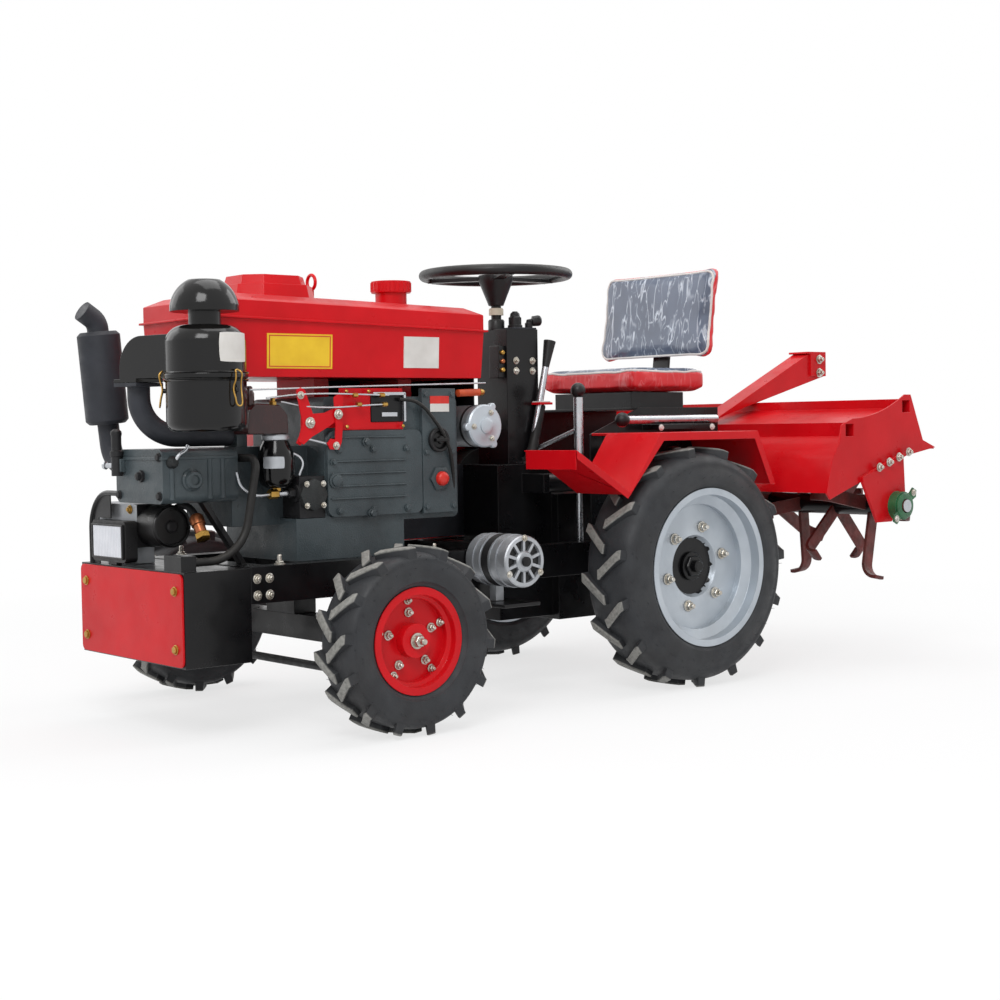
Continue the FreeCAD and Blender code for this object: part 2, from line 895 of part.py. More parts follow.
def make_knuckles():
    """Steering knuckles: a kingpin held by two cheeks, a stub axle and a forward arm."""
    cheek = "(kingpin_sleeve_radius + knuckle_clearance)"
    web_in = "(%s + %s + joint_gap * 2)" % (KINGPIN_X, cheek)
    web_out = "(%s + knuckle_wall)" % web_in
    upper = "(%s + joint_gap)" % SLEEVE_TOP
    centre = (KINGPIN_X, "front_axle_y")
    top = "(%s + steering_arm_thickness)" % upper
    half = "(steering_arm_width / 2)"
    arm_y = span("front_axle_y", half)
    pieces = [rod("Z", "kingpin_radius", (ARM_BOTTOM, top), centre)]
    for z in ((ARM_BOTTOM, ARM_TOP), (upper, top)):
        pieces.append(rod("Z", cheek, z, centre))
        pieces.append(box((KINGPIN_X, web_out), arm_y, z))
    pieces.append(box((web_in, web_out), arm_y, (ARM_BOTTOM, top)))
    spindle_end = "(front_track + front_rim_width) / 2 - spindle_inset"
    pieces.append(rod("X", "front_spindle_radius", (web_in, spindle_end), ("front_axle_y", FRONT_Z)))
    pieces.append(box(span(KINGPIN_X, half), (TIE_Y, "front_axle_y"), (ARM_BOTTOM, ARM_TOP)))
    pieces.append(rod("Z", half, (ARM_BOTTOM, ARM_TOP), (KINGPIN_X, TIE_Y)))
    pin_z = (ARM_BOTTOM + " - tie_eye_height - tie_pin_tail", ARM_BOTTOM)
    pieces.append(rod("Z", "tie_pin_radius", pin_z, (KINGPIN_X, TIE_Y)))
    left = fuse("KnuckleLeft", *pieces)
    label(left, "knuckle_left")
    label(mirror("KnuckleRight", left), "knuckle_right")


def make_tie_rod():
    """Rod with an eye at each end, hung on the pins under the steering arms."""
    top = "(%s - joint_gap)" % ARM_BOTTOM
    bottom = "(%s - tie_eye_height)" % top
    middle = "(%s - tie_eye_height / 2)" % top
    reach = both("%s - tie_pin_radius - tie_pin_tail" % KINGPIN_X)
    solids = [rod("X", "tie_rod_radius", reach, (TIE_Y, middle))]
    bores = []
    for side in ("-", ""):
        centre = (side + KINGPIN_X, TIE_Y)
        solids.append(rod("Z", "tie_eye_radius", (bottom, top), centre))
        hole = (bottom + " - overcut", top + " + overcut")
        bores.append(rod("Z", "tie_pin_radius + running_fit", hole, centre))
    label(cut("TieRod", fuse("TieRodSolid", *solids), *bores), "tie_rod")


def front_centre(disc, bore):
    """Middle of a front wheel: a hub that stands out of the dish."""
    back = "(%s - disc_wall)" % disc
    face = "(%s + front_hub_rise)" % disc
    return [
        (back, "front_hub_radius"),
        ("%s + disc_wall - hub_length" % back, "front_hub_radius"),
        ("%s + disc_wall - hub_length" % back, bore),
        (face, bore),
        (face, "front_hub_radius"),
        (disc, "front_hub_radius"),
    ]


def rear_centre(disc, bore):
    """Middle of a rear wheel: the disc steps in to a hub flange."""
    face = "(%s - rear_hub_sink)" % disc
    back = "(%s - disc_wall)" % face
    core = "%s + hub_wall" % bore
    return [
        ("%s - disc_wall" % disc, "rear_hub_radius + disc_wall * 2"),
        (back, "rear_hub_radius + disc_wall"),
        (back, core),
        ("%s - hub_length" % back, core),
        ("%s - hub_length" % back, bore),
        (face, bore),
        (face, "rear_hub_radius"),
        (disc, "rear_hub_radius + disc_wall"),
    ]


def facets(count, x, radius):
    """Corners of an even-sided ring about the wheel's own axis, one corner straight up."""
    turn = 2 * math.pi / count
    return [
        FreeCAD.Vector(x, radius * math.sin(turn * number), radius * math.cos(turn * number))
        for number in range(count)
    ]


def carcass(end, count):
    """Tyre without its lugs, flat between rings and hollow where the rim sits."""
    lip = value_of("%s_rim_width / 2 - rim_wall" % end)
    outward = 1 / math.cos(math.pi / count)
    seat = value_of("%s_rim_radius - bead_height" % end) * outward
    foot = value_of("%s_rim_radius + joint_gap" % end) * outward
    widest = value_of("%s_tyre_width / 2" % end)
    bulge = value_of("%s_rim_radius + %s_bulge" % (end, end))
    shoulder = value_of("%s_tread_width / 2 - tread_edge" % end)
    crown = value_of("%s_tyre_radius - tread_depth" % end)
    half = [(lip, seat), (lip, foot), (widest, bulge), (shoulder, crown)]
    section = half + [(-x, radius) for x, radius in reversed(half)]
    rings = [facets(count, x, radius) for x, radius in section]
    walls = []
    for ring, following in zip(rings, rings[1:] + rings[:1]):
        for number in range(count):
            corners = [ring[number - 1], following[number - 1], following[number], ring[number]]
            walls.append(Part.Face(Part.makePolygon(corners + corners[:1])))
    solid = Part.makeSolid(Part.makeShell(walls))
    return solid if solid.Volume > 0 else solid.reversed()


def lugged_tyre(end):
    """Slanting lugs in two rows half a pitch apart, each pair a V that points forward at the top."""
    count = 2 * int(value_of("%s_lugs" % end))
    lap = value_of("lug_lap")
    edge = value_of("%s_tread_width / 2" % end)
    widest = value_of("%s_tyre_width / 2" % end)
    half = value_of("lug_width / 2")
    sweep = (edge + lap) / 2 * math.tan(math.radians(90 - value_of("lug_slant")))
    reach = value_of("%s_tyre_radius" % end)
    root = value_of("%s_tyre_radius - lug_root" % end)
    drum = facets(count, -widest, reach)
    ground = Part.Face(Part.makePolygon(drum + drum[:1])).extrude(FreeCAD.Vector(2 * widest, 0, 0))
    lugs = []
    for number in range(count):
        side = 1 if number % 2 else -1
        foot = [(-lap, -sweep - half), (edge, sweep - half), (edge, sweep + half), (-lap, half - sweep)]
        corners = [FreeCAD.Vector(side * x, y, root) for x, y in foot]
        lug = Part.Face(Part.makePolygon(corners + corners[:1])).extrude(FreeCAD.Vector(0, 0, reach))
        lug.rotate(FreeCAD.Vector(), FreeCAD.Vector(1, 0, 0), 360 * number / count)
        lugs.append(lug.common(ground))
    return carcass(end, count).multiFuse(lugs).removeSplitter()


def make_wheel(end, bore, centre):
    """One rim with its disc and hub, and its tyre, on the left; both are mirrored to the right."""
    radius = "%s_rim_radius" % end
    half = "(%s_rim_width / 2)" % end
    tyre = "%s_tyre_radius" % end
    seat = "(%s - bead_height)" % radius
    floor = "(%s - %s_rim_drop)" % (seat, end)
    lip = "(%s - rim_wall)" % half
    ledge = "(%s * (1 - rim_ledge))" % lip
    slope = "(%s - %s_rim_drop / 2)" % (ledge, end)
    disc = "(%s - %s_disc_depth)" % (half, end)
    x = "%s_track / 2" % end
    y = "front_axle_y" if end == "front" else REAR_Y
    rim = turned(
        end.title() + "Rim",
        [
            ("-%s" % half, "%s - rim_wall" % seat),
            ("-%s" % ledge, "%s - rim_wall" % seat),
            ("-%s" % slope, "%s - rim_wall" % floor),
            ("%s - disc_wall" % disc, "%s - rim_wall" % floor),
            *centre(disc, bore),
            (disc, "%s - rim_wall" % floor),
            (slope, "%s - rim_wall" % floor),
            (ledge, "%s - rim_wall" % seat),
            (half, "%s - rim_wall" % seat),
            (half, radius),
            (lip, radius),
            (lip, seat),
            (ledge, seat),
            (slope, floor),
            ("-%s" % slope, floor),
            ("-%s" % ledge, seat),
            ("-%s" % lip, seat),
            ("-%s" % lip, radius),
            ("-%s" % half, radius),
        ],
    )
    place(rim, x, y, tyre)
    rubber = place(shape_part(end.title() + "Tyre", lugged_tyre(end)), x, y, tyre)
    label(rim, end + "_rim_left")
    label(rubber, end + "_tyre_left")
    label(mirror(end.title() + "RimRight", rim), end + "_rim_right")
    label(mirror(end.title() + "TyreRight", rubber), end + "_tyre_right")


def make_engine():
    """Horizontal single-cylinder diesel: crankcase on a cast base, barrel, head at the front."""
    side = ("engine_right", "engine_left")
    corners = [
        (ENGINE_FRONT, "engine_bottom"),
        (ENGINE_REAR, "engine_bottom"),
        (ENGINE_REAR, ENGINE_TOP),
        (ENGINE_FRONT, ENGINE_TOP),
    ]
    case = prism("Crankcase", "YZ_Plane", corners, *side)
    rounded(case, "engine_corner", FreeCAD.Vector(1, 0, 0))
    barrel_x = ("barrel_left - barrel_width", "barrel_left")
    barrel = box(barrel_x, (HEAD_REAR, ENGINE_FRONT + " + engine_corner"), ("engine_bottom", BARREL_TOP))
    base_y = (ENGINE_FRONT + " - base_overhang", ENGINE_FRONT + " - base_overhang + base_length")
    base = box(side, base_y, (RAIL_TOP, "engine_bottom + engine_corner"))
    port_x = ("port_left - port_width", "port_left")
    port = box(port_x, (PORT_Y + " - port_depth", PORT_Y), (BARREL_TOP, "intake_z + port_rise"))
    timing_rear = "(%s - engine_corner)" % ENGINE_REAR
    timing_front = "(%s - timing_cover_length)" % timing_rear
    timing_z = ("engine_bottom + cover_thickness", "engine_bottom + cover_thickness + timing_cover_height")
    timing_x = ("engine_left", "engine_left + timing_cover_depth")
    timing = box(timing_x, (timing_front, timing_rear), timing_z)
    front = "(%s + joint_gap)" % ENGINE_FRONT
    rear = "(%s - joint_gap)" % timing_front
    low = "engine_bottom + engine_corner"
    high = "governor_bottom - joint_gap"
    cover = prism(
        "SideCover",
        "YZ_Plane",
        [(front, low), (rear, low), (rear, high), (front, high)],
        "engine_left",
        "engine_left + cover_thickness",
    )
    rounded(cover, "cover_corner", FreeCAD.Vector(1, 0, 0))
    label(fuse("EngineBlock", case, barrel, base, port, timing, cover), "engine_block")
    top = "(head_bottom + head_height)"
    low = "head_bottom"
    corners = [(HEAD_RIGHT, low), ("head_left", low), ("head_left", top), (HEAD_RIGHT, top)]
    head = prism("Head", "XZ_Plane", corners, HEAD_FRONT, HEAD_REAR)
    rounded(head, "head_corner", FreeCAD.Vector(0, 1, 0))
    label(head, "cylinder_head")


def make_belt_drive():
    """Flywheel on the right of the crankcase and the belts to the clutch pulley, under a guard."""
    outer = "(engine_right - flywheel_width)"
    crank = ("(box_front_y + crank_setback)", "crank_z")
    clutch = ("clutch_pulley_y", "clutch_pulley_z")
    wheel = rod("X", "flywheel_radius", (outer, "engine_right"), crank)
    pulley_inner = "-(gearbox_half_width + guard_gap)"
    pulley = rod("X", "clutch_pulley_radius", (outer, pulley_inner), clutch)
    shaft = rod("X", "rear_shaft_radius", (pulley_inner, "-input_half_width"), clutch)
    big = value_of("flywheel_radius")
    small = value_of("clutch_pulley_radius")
    start = vector(outer + " + belt_inset", *crank)
    end = vector(outer + " + belt_inset", *clutch)
    along = end - start
    tilt = math.atan2(along.z, along.y)
    spread = math.acos((big - small) / along.Length)

    def loop(extra):
        """Face inside a line drawn a given distance outside both pulleys."""
        spots = []
        for centre, radius in ((start, big + extra), (end, small + extra)):
            for turn in (tilt + spread, tilt - spread):
                spots.append(centre + FreeCAD.Vector(0, math.cos(turn), math.sin(turn)) * radius)
        upper, lower, upper_end, lower_end = spots
        back = start - FreeCAD.Vector(along).normalize() * (big + extra)
        front = end + FreeCAD.Vector(along).normalize() * (small + extra)
        sides = [
            Part.LineSegment(upper, upper_end).toShape(),
            Part.Arc(upper_end, front, lower_end).toShape(),
            Part.LineSegment(lower_end, lower).toShape(),
            Part.Arc(lower, back, upper).toShape(),
        ]
        return Part.Face(Part.Wire(sides))

    thick = value_of("belt_thickness")
    wide = FreeCAD.Vector(value_of("flywheel_width - belt_inset * 2"), 0, 0)
    belt = shape_part("Belt", loop(thick).cut(loop(0)).extrude(wide))
    label(fuse("BeltDrive", wheel, belt, pulley, shaft), "belt_drive")
    gap = thick + value_of("guard_gap")
    wall = value_of("guard_wall")
    inward = value_of("flywheel_width - belt_inset")
    across = FreeCAD.Vector(-value_of("flywheel_width + guard_gap"), 0, 0)
    shell = loop(gap + wall).extrude(across)
    shell.translate(FreeCAD.Vector(inward, 0, 0))
    inside = loop(gap).extrude(across)
    inside.translate(FreeCAD.Vector(inward + wall, 0, 0))
    label(shape_part("BeltGuard", shell.cut(inside)), "belt_guard")


def make_tank():
    """Tank of two halves meeting at a sloping seam flange, with hump, filler, ring and feet."""
    half = value_of("tank_width / 2")
    front = value_of(TANK_FRONT)
    rear = value_of(TANK_REAR)
    crease = rear - value_of("tank_straight")
    narrow = value_of("tank_nose_narrowing")
    seam = value_of("tank_seam_front")
    slope = (value_of("tank_seam_rear") - seam) / (rear - front)

    def ring(inset, height, level=False):
        """Plan of the tank inside its flange; height is above the seam unless it is level."""
        spots = []
        for x, y in (
            (narrow - half + inset, front + inset),
            (half - narrow - inset, front + inset),
            (half - inset, crease),
            (half - inset, rear - inset),
            (inset - half, rear - inset),
            (inset - half, crease),
        ):
            lift = height if level else seam + slope * (y - front) + height
            spots.append(FreeCAD.Vector(x, y, lift))
        return Part.makePolygon(spots + spots[:1])

    def loft(*rings):
        return Part.makeLoft(list(rings), True, True)

    lip = value_of("tank_flange")
    thick = value_of("tank_flange_thickness")
    rise = value_of("tank_side_rise")
    top = value_of("tank_top_rise")
    base = ring(value_of("tank_taper + tank_flange"), value_of("tank_bottom"), True)
    lower = loft(base, ring(lip, -thick))
    flange = loft(ring(0, -thick), ring(0, 0))
    wall = loft(ring(lip, 0), ring(lip, rise))
    bevel = loft(ring(lip, rise), ring(lip + value_of("tank_bevel"), top))
    y = value_of("box_front_y + hump_setback")
    long = value_of("hump_length / 2")
    wide = value_of("hump_width / 2")
    corner = value_of("hump_corner")

    def octagon(inset, height):
        spots = []
        for x, away in (
            (corner - wide, -long),
            (wide - corner, -long),
            (wide, corner - long),
            (wide, long - corner),
            (wide - corner, long),
            (corner - wide, long),
            (-wide, long - corner),
            (-wide, corner - long),
        ):
            shrink = 1 - inset / wide
            spots.append(FreeCAD.Vector(x * shrink, y + away * shrink, height))
        return Part.makePolygon(spots + spots[:1])

    def surface(place_y):
        """Height of the tank's top plane."""
        return seam + slope * (place_y - front) + top

    step = value_of("hump_top - hump_step")
    inset = value_of("hump_slope")
    root = surface(y) - value_of("hump_root")
    hump = loft(octagon(0, root), octagon(inset, step))
    crown = loft(octagon(inset * 2, step - inset), octagon(inset * 3, value_of("hump_top")))
    tank = lower.fuse([flange, wall, bevel, hump, crown]).removeSplitter()
    cap_y = "box_front_y + cap_setback"
    cap_bottom = "cap_top - cap_height"
    neck = rod("Z", "cap_neck_radius", (cap_bottom + " - cap_neck_height", "cap_top"), ("cap_x", cap_y))
    cap = rod("Z", "cap_radius", (cap_bottom, "cap_top"), ("cap_x", cap_y))
    ring_y = "box_front_y + ring_setback"
    eye = document.addObject("Part::Torus", "LiftingRing")
    eye.Placement = FreeCAD.Placement(FreeCAD.Vector(), TURNS["Y"])
    bind(eye, Radius1="ring_radius", Radius2="ring_wire")
    place(eye, 0, ring_y, "ring_z")
    stem_top = "(ring_z - ring_radius)"
    stem = rod("Z", "ring_stem_radius", (stem_top + " - ring_stem_height", stem_top), (0, ring_y))
    feet = []
    for y_limits in (
        (ENGINE_FRONT + " + foot_inset", ENGINE_FRONT + " + foot_inset + foot_depth"),
        (ENGINE_REAR + " - foot_inset - foot_depth", ENGINE_REAR + " - foot_inset"),
    ):
        feet.append(box(both("foot_width / 2"), y_limits, (ENGINE_TOP + " + joint_gap", "tank_bottom")))
    label(fuse("FuelTank", shape_part("TankShell", tank), neck, cap, eye, stem, *feet), "fuel_tank")


def about_cleaner(item):
    """Set a piece, drawn with the cleaner's axis at the origin, at the angle of the hood."""
    turn = FreeCAD.Rotation(FreeCAD.Vector(0, 0, 1), value_of("hood_turn"))
    item.Placement = FreeCAD.Placement(FreeCAD.Vector(), turn)
    return place(item, "cleaner_x", CLEANER_Y, 0)


def hood_flange(top):
    """One of the two bolted plates between the hood and the intake pipe."""
    low = "%s - hood_flange" % top
    x = span("-intake_reach", "hood_flange_length / 2")
    corners = [(x[0], low), (x[1], low), (x[1], top), (x[0], top)]
    return about_cleaner(prism("HoodFlange", "XZ_Plane", corners, "-hood_width / 2", "hood_width / 2"))


def make_air_cleaner():
    """Oil-bath cleaner: bowl, neck and mushroom cap on one axis, and a hood over to the intake."""
    shoulder = "(cleaner_bottom + cleaner_height)"
    neck = "(%s + cleaner_neck_height)" % shoulder
    seam = "(cleaner_bottom + cleaner_seam)"
    bead = "cleaner_radius + cleaner_seam_bulge"
    cap_top = "%s + cleaner_cap_height" % neck
    body = turned(
        "AirCleaner",
        [
            (0, "cleaner_bottom"),
            ("cleaner_radius - cleaner_bowl_corner", "cleaner_bottom", "cleaner_bowl_corner"),
            ("cleaner_radius", "cleaner_bottom + cleaner_bowl_corner"),
            ("cleaner_radius", seam),
            (bead, "%s + cleaner_seam_bulge" % seam),
            (bead, "%s + cleaner_seam_height - cleaner_seam_bulge" % seam),
            ("cleaner_radius", "%s + cleaner_seam_height" % seam),
            ("cleaner_radius", "%s - cleaner_shoulder" % shoulder, "cleaner_dome_radius"),
            ("cleaner_radius - cleaner_shoulder", shoulder),
            ("cleaner_neck_radius", shoulder),
            ("cleaner_neck_radius", neck),
            ("cleaner_cap_radius", neck),
            ("cleaner_cap_radius", "%s + cleaner_cap_edge" % neck, "cleaner_cap_radius"),
            ("cleaner_neck_radius", cap_top),
            (0, cap_top),
        ],
        "V_Axis",
        "XZ_Plane",
    )
    place(body, "cleaner_x", CLEANER_Y, 0)
    top = "(hood_bottom + hood_height)"
    profile = [
        ("-hood_reach", "hood_bottom"),
        (0, "hood_bottom"),
        (0, top),
        ("hood_corner - hood_reach", top, "hood_corner"),
        ("-hood_reach", "%s - hood_corner" % top),
    ]
    hood = about_cleaner(prism("Hood", "XZ_Plane", profile, "-hood_width / 2", "hood_width / 2"))
    label(fuse("Cleaner", body, hood, hood_flange("hood_bottom")), "air_cleaner")


def make_muffler():
    """Leaning can with an outlet bend above and an elbow to the head below."""
    length = value_of("muffler_length")
    radius = value_of("muffler_radius")
    neck = value_of("muffler_neck")
    up = FreeCAD.Vector(0, 0, 1)
    can = Part.makeCylinder(radius, length - 2 * neck, up * neck)
    ends = [
        Part.makeCone(radius - neck, radius, neck),
        Part.makeCone(radius, radius - neck, neck, up * (length - neck)),
    ]
    turn = math.radians(value_of("exhaust_turn"))
    corner = up * (length + value_of("exhaust_rise"))
    mouth = corner + FreeCAD.Vector(0, -math.sin(turn), math.cos(turn)) * value_of("exhaust_reach")
    outlet = bent_pipe([up * (length - neck), corner, mouth], ["exhaust_bend"], "exhaust_radius")
    shape = can.fuse(ends + [outlet])
    shape.rotate(FreeCAD.Vector(), FreeCAD.Vector(1, 0, 0), value_of("muffler_lean"))
    foot = vector("muffler_x", "box_front_y + muffler_setback", "muffler_z")
    shape.translate(foot)
    port_y = HEAD_FRONT + " + exhaust_port_setback"
    port_z = "head_bottom + head_height - exhaust_port_drop"
    head_side = vector(HEAD_RIGHT + " - joint_gap", port_y, port_z)
    elbow = FreeCAD.Vector(foot.x, head_side.y, head_side.z)
    feed = bent_pipe([foot + up * neck, elbow, head_side], ["exhaust_elbow"], "exhaust_radius")
    label(shape_part("Muffler", shape.fuse(feed)), "muffler")


def make_intake():
    """Pipe from the hood's flange down and back to the port on the barrel."""
    top = "(hood_bottom - hood_flange - joint_gap)"
    turn = math.radians(value_of("hood_turn"))
    reach = value_of("intake_reach")
    across = FreeCAD.Vector(-reach * math.cos(turn), -reach * math.sin(turn), 0)
    start = vector("cleaner_x", CLEANER_Y, top) + across
    corner = FreeCAD.Vector(start.x, start.y, value_of("intake_z"))
    port = vector("port_left - port_width / 2", PORT_Y, "intake_z")
    pipe = shape_part("IntakeBend", bent_pipe([start, corner, port], ["intake_bend"], "intake_radius"))
    face = (PORT_Y + " - port_depth - joint_gap", PORT_Y + " + port_depth")
    trim_x = span("port_left - port_width / 2", "port_width")
    trim = box(trim_x, face, span("intake_z", "port_width"))
    label(cut("IntakePipe", fuse("IntakeSolid", pipe, hood_flange(top)), trim), "intake_pipe")


def make_front_fittings():
    """Work lamp on the front box, the hydraulic pump behind it and the hose to the junction box."""
    half = "lamp_width / 2"
    top = "(%s + lamp_height)" % LAMP_BOTTOM
    left = "lamp_x + %s" % half
    right = "lamp_x - %s" % half
    corners = [(right, LAMP_BOTTOM), (left, LAMP_BOTTOM), (left, top), (right, top)]
    lamp = prism("Lamp", "XZ_Plane", corners, PLATE_Y, PLATE_Y + " + lamp_depth")
    rounded(lamp, "lamp_corner", FreeCAD.Vector(0, 1, 0))
    foot_y = (PLATE_Y + " + lamp_foot_inset", PLATE_Y + " + lamp_depth - lamp_foot_inset")
    foot_z = (BOX_TOP + " + joint_gap", LAMP_BOTTOM + " + lamp_foot_inset")
    foot = box(span("lamp_x", "lamp_foot / 2"), foot_y, foot_z)
    label(fuse("WorkLamp", lamp, foot), "work_lamp")
    y = "box_front_y + pump_setback"
    bottom = "(%s + pump_lift)" % BOX_TOP
    depth = span(y, "pump_depth / 2")
    block = box(("pump_left - pump_width", "pump_left"), depth, (bottom, bottom + " + pump_height"))
    stand_x = span("pump_left - pump_width / 2", "pump_foot / 2")
    stand = box(stand_x, span(y, "pump_stand_depth / 2"), (BOX_TOP + " + joint_gap", bottom))
    centre = (y, bottom + " + pump_height / 2")
    motor = rod("X", "pump_height / 2 - motor_inset", ("pump_left", "pump_left + pump_motor_length"), centre)
    label(fuse("HydraulicPump", block, stand, motor), "hydraulic_pump")
    hose_y = ENGINE_FRONT + " - hose_lead"
    hose_z = BARREL_TOP + " - hose_drop"
    route = [
        vector("barrel_left + joint_gap", hose_y, hose_z),
        vector("hose_x", hose_y, hose_z),
        vector("hose_x", "box_front_y + hose_corner_setback", "hose_z"),
        vector("hose_x", "box_front_y + junction_inset + junction_depth + joint_gap", "hose_z"),
    ]
    hose = bent_pipe(route, ["hose_elbow", "hose_bend"], "hose_radius")
    label(shape_part("CoolantHose", hose), "coolant_hose")


def make_engine_fittings():
    """Fuel filter, injection pump, starter and alternator on the left side."""
    spot = ("filter_x", ENGINE_FRONT + " - filter_lead")
    top = "(filter_bottom + filter_height)"
    can = rod("Z", "filter_radius", ("filter_bottom", top), spot)
    bracket_y = (ENGINE_FRONT + " - bracket_front", ENGINE_FRONT + " - bracket_rear")
    bracket = box(("bracket_inner", "bracket_outer"), bracket_y, (top, top + " + bracket_height"))
    foot_y = (ENGINE_FRONT + " - bracket_foot_front", ENGINE_FRONT + " - bracket_foot_rear")
    foot_z = (BARREL_TOP + " + joint_gap", top + " + bracket_height")
    foot = box(("bracket_foot_x", "bracket_inner"), foot_y, foot_z)
    label(fuse("FuelFilter", can, bracket, foot), "fuel_filter")
    pump = box(
        ("barrel_left + joint_gap", "engine_left"),
        (ENGINE_FRONT + " - injector_depth", ENGINE_FRONT + " - joint_gap"),
        ("engine_bottom + engine_corner + joint_gap", "engine_bottom + injector_height"),
    )
    label(pump, "injection_pump")
    y = "(%s + starter_gap + starter_radius)" % ENGINE_REAR
    right = "(engine_left + starter_reach - starter_length)"
    starter = rod("X", "starter_radius", (right, "engine_left + starter_reach"), (y, "starter_z"))
    flange_y = (ENGINE_REAR + " + joint_gap", y)
    flange_z = span("starter_z", "starter_flange_height / 2")
    flange = box((right, right + " + starter_flange"), flange_y, flange_z)
    label(fuse("StarterMotor", starter, flange), "starter_motor")
    inner = "(%s + alternator_gap)" % HALF_FRAME
    centre = ("alternator_y", "alternator_z")
    body = rod("X", "alternator_radius", (inner, inner + " + alternator_length"), centre)
    ear_x = span(inner + " + alternator_ear_x", "alternator_ear / 2")
    ear_z = ("alternator_shelf_z + alternator_shelf + joint_gap", "alternator_z")
    ear = box(ear_x, span("alternator_y", "alternator_ear / 2"), ear_z)
    label(fuse("Alternator", body, ear), "alternator")


def make_control_linkage():
    """Speed control on the crankcase's left side: its plate, bars and three-armed bell crank."""
    front = "(%s + governor_front)" % ENGINE_FRONT
    rear = "(%s + governor_length)" % front
    tail = "(%s + governor_tail)" % rear
    inner = "(engine_left + joint_gap)"
    outer = "(%s + governor_plate)" % inner
    x = (inner, outer)
    top = "(governor_bottom + governor_height)"
    pieces = [
        box(x, (front, rear), ("governor_bottom", top)),
        box(x, (rear, tail), ("governor_bottom", "governor_bottom + governor_bar")),
        box(x, (rear, tail), ("%s - governor_bar" % top, top)),
        box(x, ("%s - governor_bar" % tail, tail), ("governor_bottom", top)),
    ]
    bell_y = "(%s - bell_lead)" % ENGINE_FRONT
    pieces.append(box(x, ("%s - bell_width" % bell_y, front), span("bell_z", "bell_width")))
    arm_inner = "(%s + bell_gap)" % outer
    arm_outer = "(%s + governor_plate)" % arm_inner
    pieces.append(rod("X", "bell_pin_radius", (inner, arm_outer), (bell_y, "bell_z")))
    pivot = vector(arm_inner, bell_y, "bell_z")
    for arm in ("up", "back", "down"):
        length = value_of("bell_%s" % arm)
        wide = value_of("bell_width")
        blade = Part.makeBox(value_of("governor_plate"), length, wide, FreeCAD.Vector(0, 0, -wide / 2))
        blade.rotate(FreeCAD.Vector(), FreeCAD.Vector(1, 0, 0), value_of("bell_%s_turn" % arm))
        blade.translate(pivot)
        pieces.append(shape_part("BellArm", blade))
    label(fuse("ControlLinkage", *pieces), "control_linkage")


def make_transaxle():
    """Gearbox with its input housing and the two axle tubes, and the tiller's pivot shaft behind."""
    rear = "(gearbox_front_y + gearbox_length)"
    case_z = ("gearbox_bottom", "gearbox_bottom + gearbox_height")
    case = box(both("gearbox_half_width"), ("gearbox_front_y", rear), case_z)
    front = box(both("input_half_width"), ("input_front_y", "gearbox_front_y"), ("input_bottom", "input_top"))
    face = "((rear_track + rear_rim_width) / 2 - rear_disc_depth - rear_hub_sink)"
    tube_end = "(%s - disc_wall - hub_length - joint_gap)" % face
    tube = rod("X", "axle_tube_radius", both(tube_end), (REAR_Y, REAR_Z))
    stub = rod("X", "rear_shaft_radius", both("%s + hub_end" % face), (REAR_Y, REAR_Z))
    lugs = []
    for x in (("pivot_lug_inner", "pivot_lug_outer"), ("-pivot_lug_outer", "-pivot_lug_inner")):
        lugs.append(box(x, (rear, PIVOT_Y), span("pivot_z", "pivot_radius")))
        lugs.append(rod("X", "pivot_radius + pivot_boss", x, (PIVOT_Y, "pivot_z")))
    shaft = rod("X", "pivot_radius", both("pivot_half_length"), (PIVOT_Y, "pivot_z"))
    bracket = box(
        ("input_half_width", CYLINDER_X + " + cylinder_radius"),
        (CYLINDER_BASE + " - cylinder_base", CYLINDER_BASE),
        span(LIFT_PIN_Z, "cylinder_radius"),
    )
    label(fuse("Transaxle", case, front, tube, stub, shaft, bracket, *lugs), "transaxle")


def make_fender():
    """Bent sheet from the footboard's front lip over the wheel, with a flange along its edge."""
    low = "footboard_low_z"
    top = "fender_top"
    upper = "%s + fender_sheet" % top
    thick = "fender_sheet"
    under = [
        ("footboard_front_y", "footboard_front_z"),
        ("footboard_low_y", low),
        ("fender_front_y", top),
        ("fender_rear_y", top),
        ("fender_tail_y", "fender_tail_z"),
    ]
    over = [
        ("fender_tail_y + %s" % thick, "fender_tail_z"),
        ("fender_rear_y + %s" % thick, upper),
        ("fender_front_y - %s" % thick, upper),
        ("footboard_low_y", "%s + %s * 2" % (low, thick)),
        ("footboard_front_y", "footboard_front_z + %s" % thick),
    ]
    whole = prism("FenderSheet", "YZ_Plane", under + over, "fender_inner", "fender_outer")
    notch = box(
        ("fender_inner - overcut", "footboard_inner"),
        ("footboard_front_y - overcut", "fender_front_y - %s" % thick),
        (low + " - overcut", top),
    )
    drop = "fender_flange"
    edge = [
        ("footboard_front_y", "footboard_front_z - %s" % drop),
        ("footboard_low_y - %s / 2" % drop, "%s - %s / 2" % (low, drop)),
        ("fender_front_y + %s / 2" % drop, "%s - %s" % (top, drop)),
        ("fender_rear_y - %s / 2" % drop, "%s - %s" % (top, drop)),
        ("fender_tail_y - %s" % drop, "fender_tail_z"),
    ]
    flange = prism("FenderFlange", "YZ_Plane", edge + over, "fender_outer - %s" % thick, "fender_outer")
    lip = box(
        ("footboard_inner + footboard_lip_inset", "fender_outer - footboard_lip_inset"),
        ("footboard_front_y", "footboard_front_y + %s" % thick),
        ("footboard_front_z - footboard_lip", "footboard_front_z + %s" % thick),
    )
    left = fuse("FenderLeft", cut("FenderBody", whole, notch), flange, lip)
    label(left, "fender_left")
    label(mirror("FenderRight", left), "fender_right")


